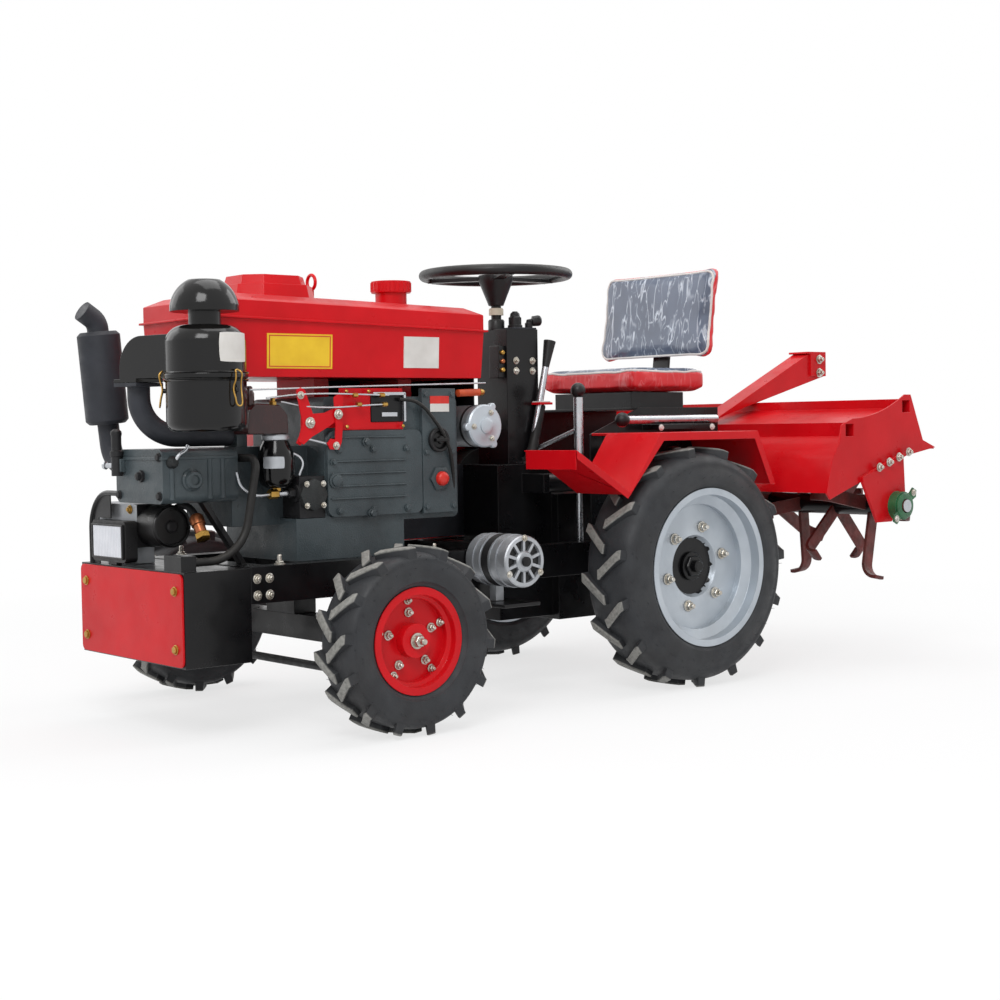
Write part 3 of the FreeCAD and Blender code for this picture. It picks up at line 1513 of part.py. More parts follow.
def make_station():
    """Steering post, seat frame and the two parts of the seat."""
    post_y = ("post_front_y", "post_front_y + post_depth")
    post = box(both("post_width / 2"), post_y, ("input_top + joint_gap", "post_top"))
    column_top = "steering_wheel_z - wheel_hub_height - joint_gap"
    column = rod("Z", "column_radius", ("post_top", column_top), (0, "steering_wheel_y"))
    label(fuse("SteeringPost", post, column), "steering_post")
    deck_bottom = "(deck_top - seat_plate)"
    plate = [
        ("seat_side_front_y", RAIL_TOP + " + joint_gap"),
        ("rail_rear_y", RAIL_TOP + " + joint_gap"),
        ("deck_rear_y", "fender_top"),
        ("deck_rear_y", "deck_top"),
        ("seat_front_y", "deck_top"),
        ("seat_side_front_y", "fender_top"),
    ]
    left = prism("SeatSide", "YZ_Plane", plate, SEAT_SIDE, "fender_inner - joint_gap")
    deck = box(both(SEAT_SIDE), ("seat_front_y", "deck_rear_y"), (deck_bottom, "deck_top"))
    slide = box(both("slide_width / 2"), ("slide_front_y", "slide_rear_y"), ("deck_top", "seat_bottom"))
    slope = "tan(back_lean)"
    rear = "(back_y + back_thickness + joint_gap + (%s - back_bottom) * tan(back_lean))"
    mast_top = "(deck_top + mast_height)"
    mast_sides = [
        (rear % deck_bottom, deck_bottom),
        (rear % deck_bottom + " + mast_thickness", deck_bottom),
        (rear % mast_top + " + mast_thickness", mast_top),
        (rear % mast_top, mast_top),
    ]
    mast = prism("Mast", "YZ_Plane", mast_sides, "-mast_width / 2", "mast_width / 2")
    rest_top = "(hand_lever_z - hand_lever_radius - lever_rest_gap)"
    rest = box(
        (SEAT_SIDE, "lever_rest_outer"),
        ("lever_rest_front_y", "lever_rest_rear_y"),
        (rest_top + " - lever_rest_thickness", rest_top),
    )
    sides = [left, mirror("SeatSideRight", left)]
    label(fuse("SeatFrame", *sides, deck, slide, mast, rest), "seat_frame")
    seat_y = ("seat_front_y", "seat_front_y + seat_length")
    seat_z = ("seat_bottom + joint_gap", "seat_bottom + seat_height")
    label(box(both("seat_width / 2"), seat_y, seat_z), "seat_cushion")
    top = "(back_bottom + back_height)"
    shift = "back_y + back_height * %s" % slope
    back = [
        ("back_y", "back_bottom"),
        ("back_y + back_thickness", "back_bottom"),
        (shift + " + back_thickness", top),
        (shift, top),
    ]
    label(prism("Backrest", "YZ_Plane", back, "-back_width / 2", "back_width / 2"), "seat_backrest")


def ball(x, y, z):
    item = document.addObject("Part::Sphere", "Knob")
    bind(item, Radius="knob_radius")
    return place(item, x, y, z)


def make_levers():
    """Gear lever, upright clutch lever with its link, and long hand lever, each with its grip."""
    base = vector("gear_lever_x", "gear_lever_y", "input_top + gear_foot_height / 2")
    lean = math.radians(value_of("gear_lever_lean"))
    along = FreeCAD.Vector(0, math.sin(lean), math.cos(lean))
    end = base + along * value_of("gear_lever_length")
    stick = bar(base, end, "gear_lever_radius")
    neck = value_of("gear_grip_neck")
    grip = Part.makeCone(neck, value_of("gear_grip_radius"), value_of("gear_grip_length"), end, along)
    foot = box(
        ("post_width / 2 + joint_gap", "gear_lever_x + gear_foot / 2"),
        span("gear_lever_y", "gear_foot / 2"),
        ("input_top + joint_gap", "input_top + gear_foot_height"),
    )
    gear = fuse("GearLever", shape_part("GearStick", stick.fuse(grip)), foot)
    spot = ("clutch_lever_x", "clutch_lever_y")
    stem = rod("Z", "clutch_stem_radius", ("clutch_lever_bottom", "clutch_lever_top"), spot)
    sleeve = rod("Z", "clutch_lever_radius", ("clutch_sleeve_z", "clutch_lever_top"), spot)
    knob = ball(*spot, "clutch_lever_top + knob_reach")
    web = "%s - rail_wall - joint_gap" % HALF_FRAME
    pin_z = "clutch_lever_bottom + clutch_stem_radius"
    pin = rod("X", "lever_pin_radius", ("clutch_lever_x", web), ("clutch_lever_y", pin_z))
    link_start = vector("post_width / 2 + link_radius", "link_front_y", "link_front_z")
    link_end = vector(*spot, "link_rear_z")
    link = shape_part("ClutchLink", bar(link_start, link_end, "link_radius"))
    clutch = fuse("ClutchLever", stem, sleeve, knob, pin, link)
    hand_y = ("hand_lever_front_y", "hand_lever_rear_y")
    hand = rod("Y", "hand_lever_radius", hand_y, ("hand_lever_x", "hand_lever_z"))
    hand_knob = ball("hand_lever_x", "hand_lever_front_y - knob_reach", "hand_lever_z")
    hand_pin_y = "hand_lever_rear_y - hand_pin_inset"
    hand_pin_x = ("fender_inner", "hand_lever_x")
    hand_pin = rod("X", "lever_pin_radius", hand_pin_x, (hand_pin_y, "hand_lever_z"))
    long_lever = fuse("HandLever", hand, hand_knob, hand_pin)
    label(gather("ControlLevers", gear, clutch, long_lever), "control_levers")


def make_steering_wheel():
    """Rim, three spokes and a tapered hub."""
    rim = document.addObject("Part::Torus", "SteeringRim")
    bind(rim, Radius1="steering_wheel_radius - steering_rim_radius", Radius2="steering_rim_radius")
    place(rim, 0, "steering_wheel_y", "steering_wheel_z")
    bottom = "(steering_wheel_z - wheel_hub_height)"
    hub = turned(
        "WheelHub",
        [
            (0, bottom),
            ("wheel_hub_neck", bottom),
            ("wheel_hub_radius", "steering_wheel_z - wheel_hub_top"),
            ("wheel_hub_radius", "steering_wheel_z"),
            (0, "steering_wheel_z"),
        ],
        "V_Axis",
        "XZ_Plane",
    )
    place(hub, 0, "steering_wheel_y", 0)
    spokes = []
    for turn in (90, 210, 330):
        spoke = document.addObject("Part::Box", "Spoke")
        length = "steering_wheel_radius - steering_rim_radius"
        bind(spoke, Length=length, Width="spoke_width", Height="spoke_thickness")
        spoke.Placement = FreeCAD.Placement(FreeCAD.Vector(), FreeCAD.Rotation(FreeCAD.Vector(0, 0, 1), turn))
        x = "spoke_width / 2 * sin(%d)" % turn
        y = "steering_wheel_y - spoke_width / 2 * cos(%d)" % turn
        spokes.append(place(spoke, x, y, "steering_wheel_z - steering_rim_radius"))
    label(fuse("SteeringWheel", rim, hub, *spokes), "steering_wheel")


def make_tiller():
    """Tiller housing: cover between two cheeks, two square tubes and the rotor's bearings."""
    half = "tiller_half_width"
    inside = "(%s - side_plate)" % half
    cheek = prism(
        "TillerSide",
        "YZ_Plane",
        [
            ("hood_toe_y", "hood_toe_z"),
            ("cheek_heel_y", "cheek_heel_z"),
            ("lip_tip_y", "lip_tip_z"),
            ("lip_root_y", "lip_root_z"),
            ("cheek_tip_y", "cheek_tip_z"),
            ("cheek_tip_y - cheek_tip_length", "cheek_tip_z", "-cheek_brow_radius"),
            ("cheek_brow_y", "cheek_brow_z"),
            ("crown_y", "crown_z"),
            ("hood_hip_y", "hood_hip_z"),
            ("hood_knee_y", "hood_knee_z"),
            ("hood_front_y", "hood_front_z"),
        ],
        inside,
        half,
    )
    run = [
        ("hood_front_y", "hood_front_z"),
        ("hood_knee_y", "hood_knee_z"),
        ("hood_hip_y", "hood_hip_z"),
        ("front_tube_y", "front_tube_z"),
        ("rear_tube_y", "rear_tube_z"),
        ("lip_root_y", "lip_root_z"),
        ("lip_tip_y", "lip_tip_z"),
    ]
    shifts = [(1, 0), (1, 0), (1, -0.5), (0, -1), (-0.5, -1), (-0.5, -1), (0, -1)]
    inner = []
    for (y, z), (back, up) in zip(run, shifts):
        inner.append(("%s + hood_sheet * %s" % (y, back), "%s + hood_sheet * %s" % (z, up)))
    cover = prism("TillerCover", "YZ_Plane", inner + run[::-1], "-%s" % inside, inside)
    tubes = []
    holes = []
    for end in ("front", "rear"):
        y = "%s_tube_y" % end
        z = "%s_tube_z" % end
        side = "hood_tube_side / 2"
        clear = "hood_tube_side / 2 - hood_tube_wall"
        tubes.append(box(both(half), span(y, side), span(z, side)))
        holes.append(box(both(half + " + overcut"), span(y, clear), span(z, clear)))
    bracket = [
        ("rotor_y - bearing_arm", "rotor_z + bearing_arm_rise + bearing_lap"),
        ("rotor_y - bearing_arm", "rotor_z + bearing_arm_rise"),
        ("rotor_y - bearing_heel", "rotor_z - bearing_drop"),
        ("rotor_y - bearing_toe", "rotor_z - bearing_drop"),
        ("rotor_y + bearing_back", "rotor_z + bearing_back_rise"),
        ("rotor_y + bearing_tail", "rotor_z + bearing_tail_rise + bearing_lap"),
    ]
    outer = half + " + bearing_plate"
    plate = prism("BearingPlate", "YZ_Plane", bracket, half, outer)
    boss = rod("X", "bearing_radius", (half, outer + " + bearing_depth"), ("rotor_y", "rotor_z"))
    reach = both(outer + " + bearing_depth + overcut")
    holes.append(rod("X", "rotor_journal_radius + running_fit", reach, ("rotor_y", "rotor_z")))
    gap = "case_half_width + guard_wall"
    window_y = ("case_window_front", "case_window_rear")
    holes.append(box(both(gap), window_y, ("case_window_bottom", "case_window_top")))
    sides = [cheek, plate, boss]
    sides += [mirror("TillerRight", item) for item in sides]
    label(cut("TillerHousing", fuse("TillerShell", cover, *sides, *tubes), *holes), "tiller_housing")


def make_boom():
    """Beam rising from the tiller to the rear, with a drilled hitch plate on its left."""
    side = "boom_side / 2"
    foot = "(front_tube_z + hood_tube_side / 2 + joint_gap)"
    start = "(boom_end_y - boom_end_length)"
    profile = [
        ("boom_foot_y", foot),
        ("boom_foot_y + boom_foot_length", foot + " + boom_foot_rise"),
        ("boom_end_y", "boom_end_bottom"),
        ("boom_end_y", "boom_end_top"),
        (start, "boom_end_top"),
    ]
    beam = prism("BoomBeam", "YZ_Plane", profile, "-" + side, side)
    end_y = (start, "boom_end_y")
    plate = box((side, side + " + hitch_plate"), end_y, ("boom_end_bottom", "boom_end_top"))
    cap_x = both(side + " + hitch_plate")
    cap_y = (start + " - hitch_cap_overhang", "boom_end_y")
    cap = box(cap_x, cap_y, ("boom_end_top", "boom_end_top + hitch_cap"))
    reach = both(side + " + hitch_plate + overcut")
    holes = []
    for drop in ("hitch_hole_drop", "hitch_hole_drop + hitch_hole_spacing"):
        centre = ("boom_end_y - hitch_hole_inset", "boom_end_top - (%s)" % drop)
        holes.append(rod("X", "hitch_hole_radius", reach, centre))
    label(cut("RearBoom", fuse("BoomSolid", beam, plate, cap), *holes), "rear_boom")


def make_lift():
    """Arms that swing the tiller about its pivot shaft, with the crank the cylinder pushes."""
    boss = "pivot_radius + pivot_boss"
    inner = "(arm_offset - arm_thickness / 2)"
    outer = "(arm_offset + arm_thickness / 2)"
    arm_sides = [
        (PIVOT_Y, "pivot_z - (%s)" % boss),
        ("hood_front_y - joint_gap", "hood_front_z"),
        ("hood_knee_y - joint_gap", "hood_knee_z"),
        (PIVOT_Y, "pivot_z + %s" % boss),
    ]
    pieces = []
    for x in ((inner, outer), ("-" + outer, "-" + inner)):
        pieces.append(prism("LiftArm", "YZ_Plane", arm_sides, *x))
        pieces.append(rod("X", boss, x, (PIVOT_Y, "pivot_z")))
    tie_rear = "hood_front_y - lift_tie_gap"
    tie_z = ("lift_tie_z", "lift_tie_z + lift_tie_height")
    pieces.append(box(both(outer), (tie_rear + " - lift_tie_depth", tie_rear), tie_z))
    crank = [
        (PIVOT_Y + " - crank_half_foot", "pivot_z + crank_root"),
        (PIVOT_Y + " + crank_half_foot", "pivot_z + crank_root"),
        (LIFT_PIN_Y + " + crank_head", LIFT_PIN_Z),
        (LIFT_PIN_Y, LIFT_PIN_Z + " + crank_head"),
        (LIFT_PIN_Y + " - crank_head", LIFT_PIN_Z),
    ]
    pieces.append(prism("Crank", "YZ_Plane", crank, inner, outer))
    pin_end = CYLINDER_X + " + rod_eye_half + rod_eye_play"
    pieces.append(rod("X", "lift_pin_radius", ("arm_offset", pin_end), (LIFT_PIN_Y, LIFT_PIN_Z)))
    bore = rod("X", "pivot_radius + running_fit", both(outer + " + overcut"), (PIVOT_Y, "pivot_z"))
    label(cut("LiftFrame", fuse("LiftArms", *pieces), bore), "lift_frame")


def make_drive_case():
    """Chain case from the pivot shaft down to the middle of the rotor."""
    width = both("case_half_width")
    head = "(pivot_radius + case_pivot_boss)"
    sides = [
        (PIVOT_Y, "pivot_z - %s" % head),
        ("rotor_y", "rotor_z - case_radius"),
        ("rotor_y", "rotor_z + case_radius"),
        (PIVOT_Y, "pivot_z + %s" % head),
    ]
    case = [
        rod("X", head, width, (PIVOT_Y, "pivot_z")),
        rod("X", "case_radius", width, ("rotor_y", "rotor_z")),
        prism("CaseBody", "YZ_Plane", sides, *width),
    ]
    reach = both("case_half_width + overcut")
    bores = [
        rod("X", "pivot_radius + running_fit", reach, (PIVOT_Y, "pivot_z")),
        rod("X", "rotor_shaft_radius + running_fit", reach, ("rotor_y", "rotor_z")),
    ]
    label(cut("DriveCase", fuse("CaseSolid", *case), *bores), "drive_case")


def make_cylinder():
    """Lift cylinder, bored for its rod, and the rod whose eye rides on the crank's pin."""
    end = "(%s + cylinder_length)" % CYLINDER_BASE
    centre = (CYLINDER_X, LIFT_PIN_Z)
    barrel = rod("Y", "cylinder_radius", (CYLINDER_BASE, end), centre)
    bore = rod("Y", "rod_radius + rod_bore_fit", ("%s - rod_bore_depth" % end, end + " + overcut"), centre)
    label(cut("LiftCylinder", barrel, bore), "lift_cylinder")
    stem = rod("Y", "rod_radius", ("%s - rod_insertion" % end, LIFT_PIN_Y), centre)
    eye = rod("X", "rod_eye_radius", span(CYLINDER_X, "rod_eye_half"), (LIFT_PIN_Y, LIFT_PIN_Z))
    hole_x = span(CYLINDER_X, "rod_eye_half + overcut")
    hole = rod("X", "lift_pin_radius + rod_eye_play", hole_x, (LIFT_PIN_Y, LIFT_PIN_Z))
    label(cut("LiftRod", fuse("RodSolid", stem, eye), hole), "lift_rod")


def tine(sign):
    """One blade standing up from the axis, its tip curled to one side."""
    radius = value_of("tine_radius")
    wide = value_of("tine_width")
    thick = value_of("tine_thickness")
    bend = value_of("tine_bend")
    curl = value_of("tine_curl")
    foot = value_of("rotor_shaft_radius - tine_root")
    ease = curl - 1
    root = FreeCAD.Vector(0, 0, foot)
    start = FreeCAD.Vector(0, 0, radius - bend)
    middle = FreeCAD.Vector(sign * bend * ease, 0, radius - bend * ease)
    tip = FreeCAD.Vector(sign * bend * curl, 0, radius)
    inner_tip = tip - FreeCAD.Vector(0, 0, thick)
    inner_middle = middle + FreeCAD.Vector(sign, 0, -1) * (thick / math.sqrt(2))
    inner_start = start + FreeCAD.Vector(sign * thick, 0, 0)
    inner_root = root + FreeCAD.Vector(sign * thick, 0, 0)
    edges = [
        Part.LineSegment(root, start).toShape(),
        Part.Arc(start, middle, tip).toShape(),
        Part.LineSegment(tip, inner_tip).toShape(),
        Part.Arc(inner_tip, inner_middle, inner_start).toShape(),
        Part.LineSegment(inner_start, inner_root).toShape(),
        Part.LineSegment(inner_root, root).toShape(),
    ]
    blade = Part.Face(Part.Wire(edges)).extrude(FreeCAD.Vector(0, wide, 0))
    blade.translate(FreeCAD.Vector(0, -wide / 2, 0))
    return blade


def make_rotor():
    """Rotor tube with its journals and rings of bent tines."""
    along = FreeCAD.Vector(1, 0, 0)
    end = value_of("tiller_half_width - rotor_end_gap")
    reach = value_of("tiller_half_width + bearing_plate + bearing_depth + journal_tail")
    tube = Part.makeCylinder(value_of("rotor_shaft_radius"), 2 * end, along * -end, along)
    journal = Part.makeCylinder(value_of("rotor_journal_radius"), 2 * reach, along * -reach, along)
    tines = []
    stations = int(value_of("tine_stations"))
    count = int(value_of("tine_count"))
    first = value_of("tine_first_x")
    pitch = (value_of("tine_last_x") - first) / (stations / 2 - 1)
    for number in range(stations):
        side = -1 if number < stations / 2 else 1
        x = side * (first + number % (stations // 2) * pitch)
        for turn in range(count):
            blade = tine(1 if turn % 2 else -1)
            angle = 360 / count * turn + value_of("tine_turn") * number
            blade.rotate(FreeCAD.Vector(), along, angle)
            blade.translate(along * x)
            tines.append(blade)
    rotor = shape_part("Rotor", tube.fuse([journal] + tines))
    rotor.Placement = FreeCAD.Placement(vector(0, "rotor_y", "rotor_z"), FreeCAD.Rotation())
    label(rotor, "rotor")


make_frame()
make_front_box()
make_front_axle()
make_knuckles()
make_tie_rod()
make_wheel("front", "(front_spindle_radius + running_fit)", front_centre)
make_wheel("rear", "(rear_shaft_radius + running_fit)", rear_centre)
make_engine()
make_belt_drive()
make_tank()
make_air_cleaner()
make_muffler()
make_intake()
make_front_fittings()
make_engine_fittings()
make_control_linkage()
make_transaxle()
make_fender()
make_station()
make_levers()
make_steering_wheel()
make_tiller()
make_boom()
make_lift()
make_drive_case()
make_cylinder()
make_rotor()

document.recompute()
failed = [item.Name for item in document.Objects if "Invalid" in item.State or "Error" in item.State]
failed += [item.Label for item in NODES if item.Shape.isNull() or not item.Shape.isValid()]
if failed:
    raise SystemExit("failed: " + ", ".join(failed))
os.makedirs("parts", exist_ok=True)
for item in NODES:
    item.Shape.exportStep("parts/%s.step" % item.Label)
    print(item.Label, len(item.Shape.Solids), round(item.Shape.Volume / 1e6, 3))
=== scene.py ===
import json
import math
import random
import bpy
from mathutils import Matrix, Vector


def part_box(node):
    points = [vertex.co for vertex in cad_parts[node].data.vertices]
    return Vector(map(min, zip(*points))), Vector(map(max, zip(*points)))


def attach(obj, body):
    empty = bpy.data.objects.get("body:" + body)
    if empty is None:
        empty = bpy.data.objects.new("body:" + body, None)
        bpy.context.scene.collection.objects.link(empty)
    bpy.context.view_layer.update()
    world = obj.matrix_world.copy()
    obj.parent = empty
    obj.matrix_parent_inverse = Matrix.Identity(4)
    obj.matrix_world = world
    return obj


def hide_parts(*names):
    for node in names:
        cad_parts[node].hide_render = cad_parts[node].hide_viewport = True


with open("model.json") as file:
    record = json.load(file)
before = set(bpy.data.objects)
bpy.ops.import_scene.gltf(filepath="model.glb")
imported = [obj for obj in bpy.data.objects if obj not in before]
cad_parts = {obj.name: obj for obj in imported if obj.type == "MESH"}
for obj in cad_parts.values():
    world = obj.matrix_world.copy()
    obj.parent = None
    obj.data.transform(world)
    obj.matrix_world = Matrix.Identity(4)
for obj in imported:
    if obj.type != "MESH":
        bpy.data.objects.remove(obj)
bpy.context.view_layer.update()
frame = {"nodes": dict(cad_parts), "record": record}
shown = {node["node"]: node["material_slot"] for node in frame["record"]["subparts"]}
bodyOf = {node: body for body, nodes in frame["record"]["behaviour"]["bodies"].items() for node in nodes}
toLeft, upright, ahead, rearward = (1, 0, 0), (0, 0, 1), (0, -1, 0), (0, 1, 0)  # the machine's own sides
print("model loaded,", len(shown), "solids")


# colours and shader nodes

def tint(red, green, blue):
    # colours are written as they look on a screen
    levels = [c / 255 / 12.92 if c < 11 else ((c / 255 + 0.055) / 1.055) ** 2.4 for c in (red, green, blue)]
    return (*levels, 1.0)


def newMaterial(name):
    material = bpy.data.materials.new(name)
    material.use_nodes = True
    return material, material.node_tree, material.node_tree.nodes["Principled BSDF"]


def feed(tree, socket, value):
    # a socket takes another node's output or a plain value
    if hasattr(value, "is_linked"):
        tree.links.new(value, socket)
    else:
        socket.default_value = value


def maths(tree, operation, *values):
    step = tree.nodes.new("ShaderNodeMath")
    step.operation = operation
    for socket, value in zip(step.inputs, values):
        feed(tree, socket, value)
    return step.outputs[0]


def lengthOf(tree, vector):
    reach = tree.nodes.new("ShaderNodeVectorMath")
    reach.operation = "LENGTH"
    tree.links.new(vector, reach.inputs[0])
    return reach.outputs["Value"]


def between(tree, value, low, high, start=0.3, end=0.7):
    # low where the value is at start, high where it is at end
    reach = tree.nodes.new("ShaderNodeMapRange")
    tree.links.new(value, reach.inputs["Value"])
    for socket, number in (("From Min", start), ("From Max", end), ("To Min", low), ("To Max", high)):
        reach.inputs[socket].default_value = number
    return reach.outputs["Result"]


def mixed(tree, share, first, second):
    blend = tree.nodes.new("ShaderNodeMix")
    blend.data_type = "RGBA"
    tree.links.new(share, blend.inputs[0])
    feed(tree, blend.inputs[6], first)
    feed(tree, blend.inputs[7], second)
    return blend.outputs[2]


def fromNoise(tree, place, scale, detail, twist=0.0):
    cloud = tree.nodes.new("ShaderNodeTexNoise")
    cloud.inputs["Scale"].default_value = scale
    cloud.inputs["Detail"].default_value = detail
    cloud.inputs["Distortion"].default_value = twist
    tree.links.new(place, cloud.inputs["Vector"])
    return cloud.outputs["Fac"]


def bumped(tree, height, depth, strength=1.0):
    bump = tree.nodes.new("ShaderNodeBump")
    bump.inputs["Distance"].default_value = depth
    bump.inputs["Strength"].default_value = strength
    tree.links.new(height, bump.inputs["Height"])
    return bump.outputs["Normal"]


# camera, studio and floor

view = {"spot": (3.386, -2.926, 0.660), "target": (0.0, -0.095, 0.4672), "lens": 61.6, "sensor": 36,
        "roll": -0.9}
studio = {
    "aim": (0, 0, 0.4),
    "lamps": {
        "key": {"place": (2.6, -3.2, 3.6), "size": 2.0, "watts": 105},
        "fill": {"place": (-3.5, -2.5, 2.6), "size": 3.0, "watts": 35},
        "back": {"place": (0.5, 3.5, 3.0), "size": 2.5, "watts": 45},
        "top": {"place": (0.0, 0.0, 4.5), "size": 3.0, "watts": 60},
    },
    "skyLight": 0.5,  # what the white surroundings give the machine
    "floorSize": 40, "floorTint": (240, 240, 241), "floorRough": 0.9,
    "fade": (1.3, 3.2), "floorGlow": (0.72, 1.0),  # how far out the floor turns white, and how much it glows
}


def linked(name, data):
    thing = bpy.data.objects.new(name, data)
    bpy.context.collection.objects.link(thing)
    return thing


def straightOrGloss(tree):
    # seen straight, in gloss or through glass the background is white; the light it gives stays plain
    ray = tree.nodes.new("ShaderNodeLightPath")
    either = maths(tree, "MAXIMUM", ray.outputs["Is Camera Ray"], ray.outputs["Is Glossy Ray"])
    return maths(tree, "MAXIMUM", either, ray.outputs["Is Transmission Ray"])


camera = linked("camera", bpy.data.cameras.new("camera"))
spot, target = Vector(view["spot"]), Vector(view["target"])
facing = (spot - target).to_track_quat("Z", "Y").to_matrix().to_4x4()
camera.matrix_world = Matrix.Translation(spot) @ facing @ Matrix.Rotation(math.radians(view["roll"]), 4, "Z")
camera.data.lens = view["lens"]
camera.data.sensor_width = view["sensor"]
bpy.context.scene.camera = camera

for name, look in studio["lamps"].items():
    light = linked(name, bpy.data.lights.new(name, "AREA"))
    light.location = look["place"]
    light.data.energy = look["watts"]
    light.data.size = look["size"]
    light.rotation_euler = (Vector(look["place"]) - Vector(studio["aim"])).to_track_quat("Z", "Y").to_euler()

world = bpy.data.worlds.new("studio")
bpy.context.scene.world = world
world.use_nodes = True
sky = world.node_tree
background = sky.nodes["Background"]
background.inputs["Color"].default_value = (1, 1, 1, 1)
sky.links.new(between(sky, straightOrGloss(sky), studio["skyLight"], 1.0, 0.0, 1.0),
              background.inputs["Strength"])

bpy.ops.mesh.primitive_plane_add(size=studio["floorSize"])
floor = bpy.context.object
floor.name = "floor"
floorPaint, ground, lit = newMaterial("floorPaint")
lit.inputs["Base Color"].default_value = tint(*studio["floorTint"])
lit.inputs["Roughness"].default_value = studio["floorRough"]
away = lengthOf(ground, ground.nodes.new("ShaderNodeTexCoord").outputs["Object"])
glow = between(ground, away, *studio["floorGlow"], *studio["fade"])
pale = ground.nodes.new("ShaderNodeMixShader")
ground.links.new(maths(ground, "MULTIPLY", straightOrGloss(ground), glow), pale.inputs[0])
ground.links.new(lit.outputs[0], pale.inputs[1])
ground.links.new(ground.nodes.new("ShaderNodeEmission").outputs[0], pale.inputs[2])
ground.links.new(pale.outputs[0], ground.nodes["Material Output"].inputs["Surface"])
floor.data.materials.append(floorPaint)
bpy.context.scene.view_settings.view_transform = "Standard"
print("camera, studio and floor stand")


# finishes: base and shade mix in patches; grain is fine relief, dust lies on what faces up

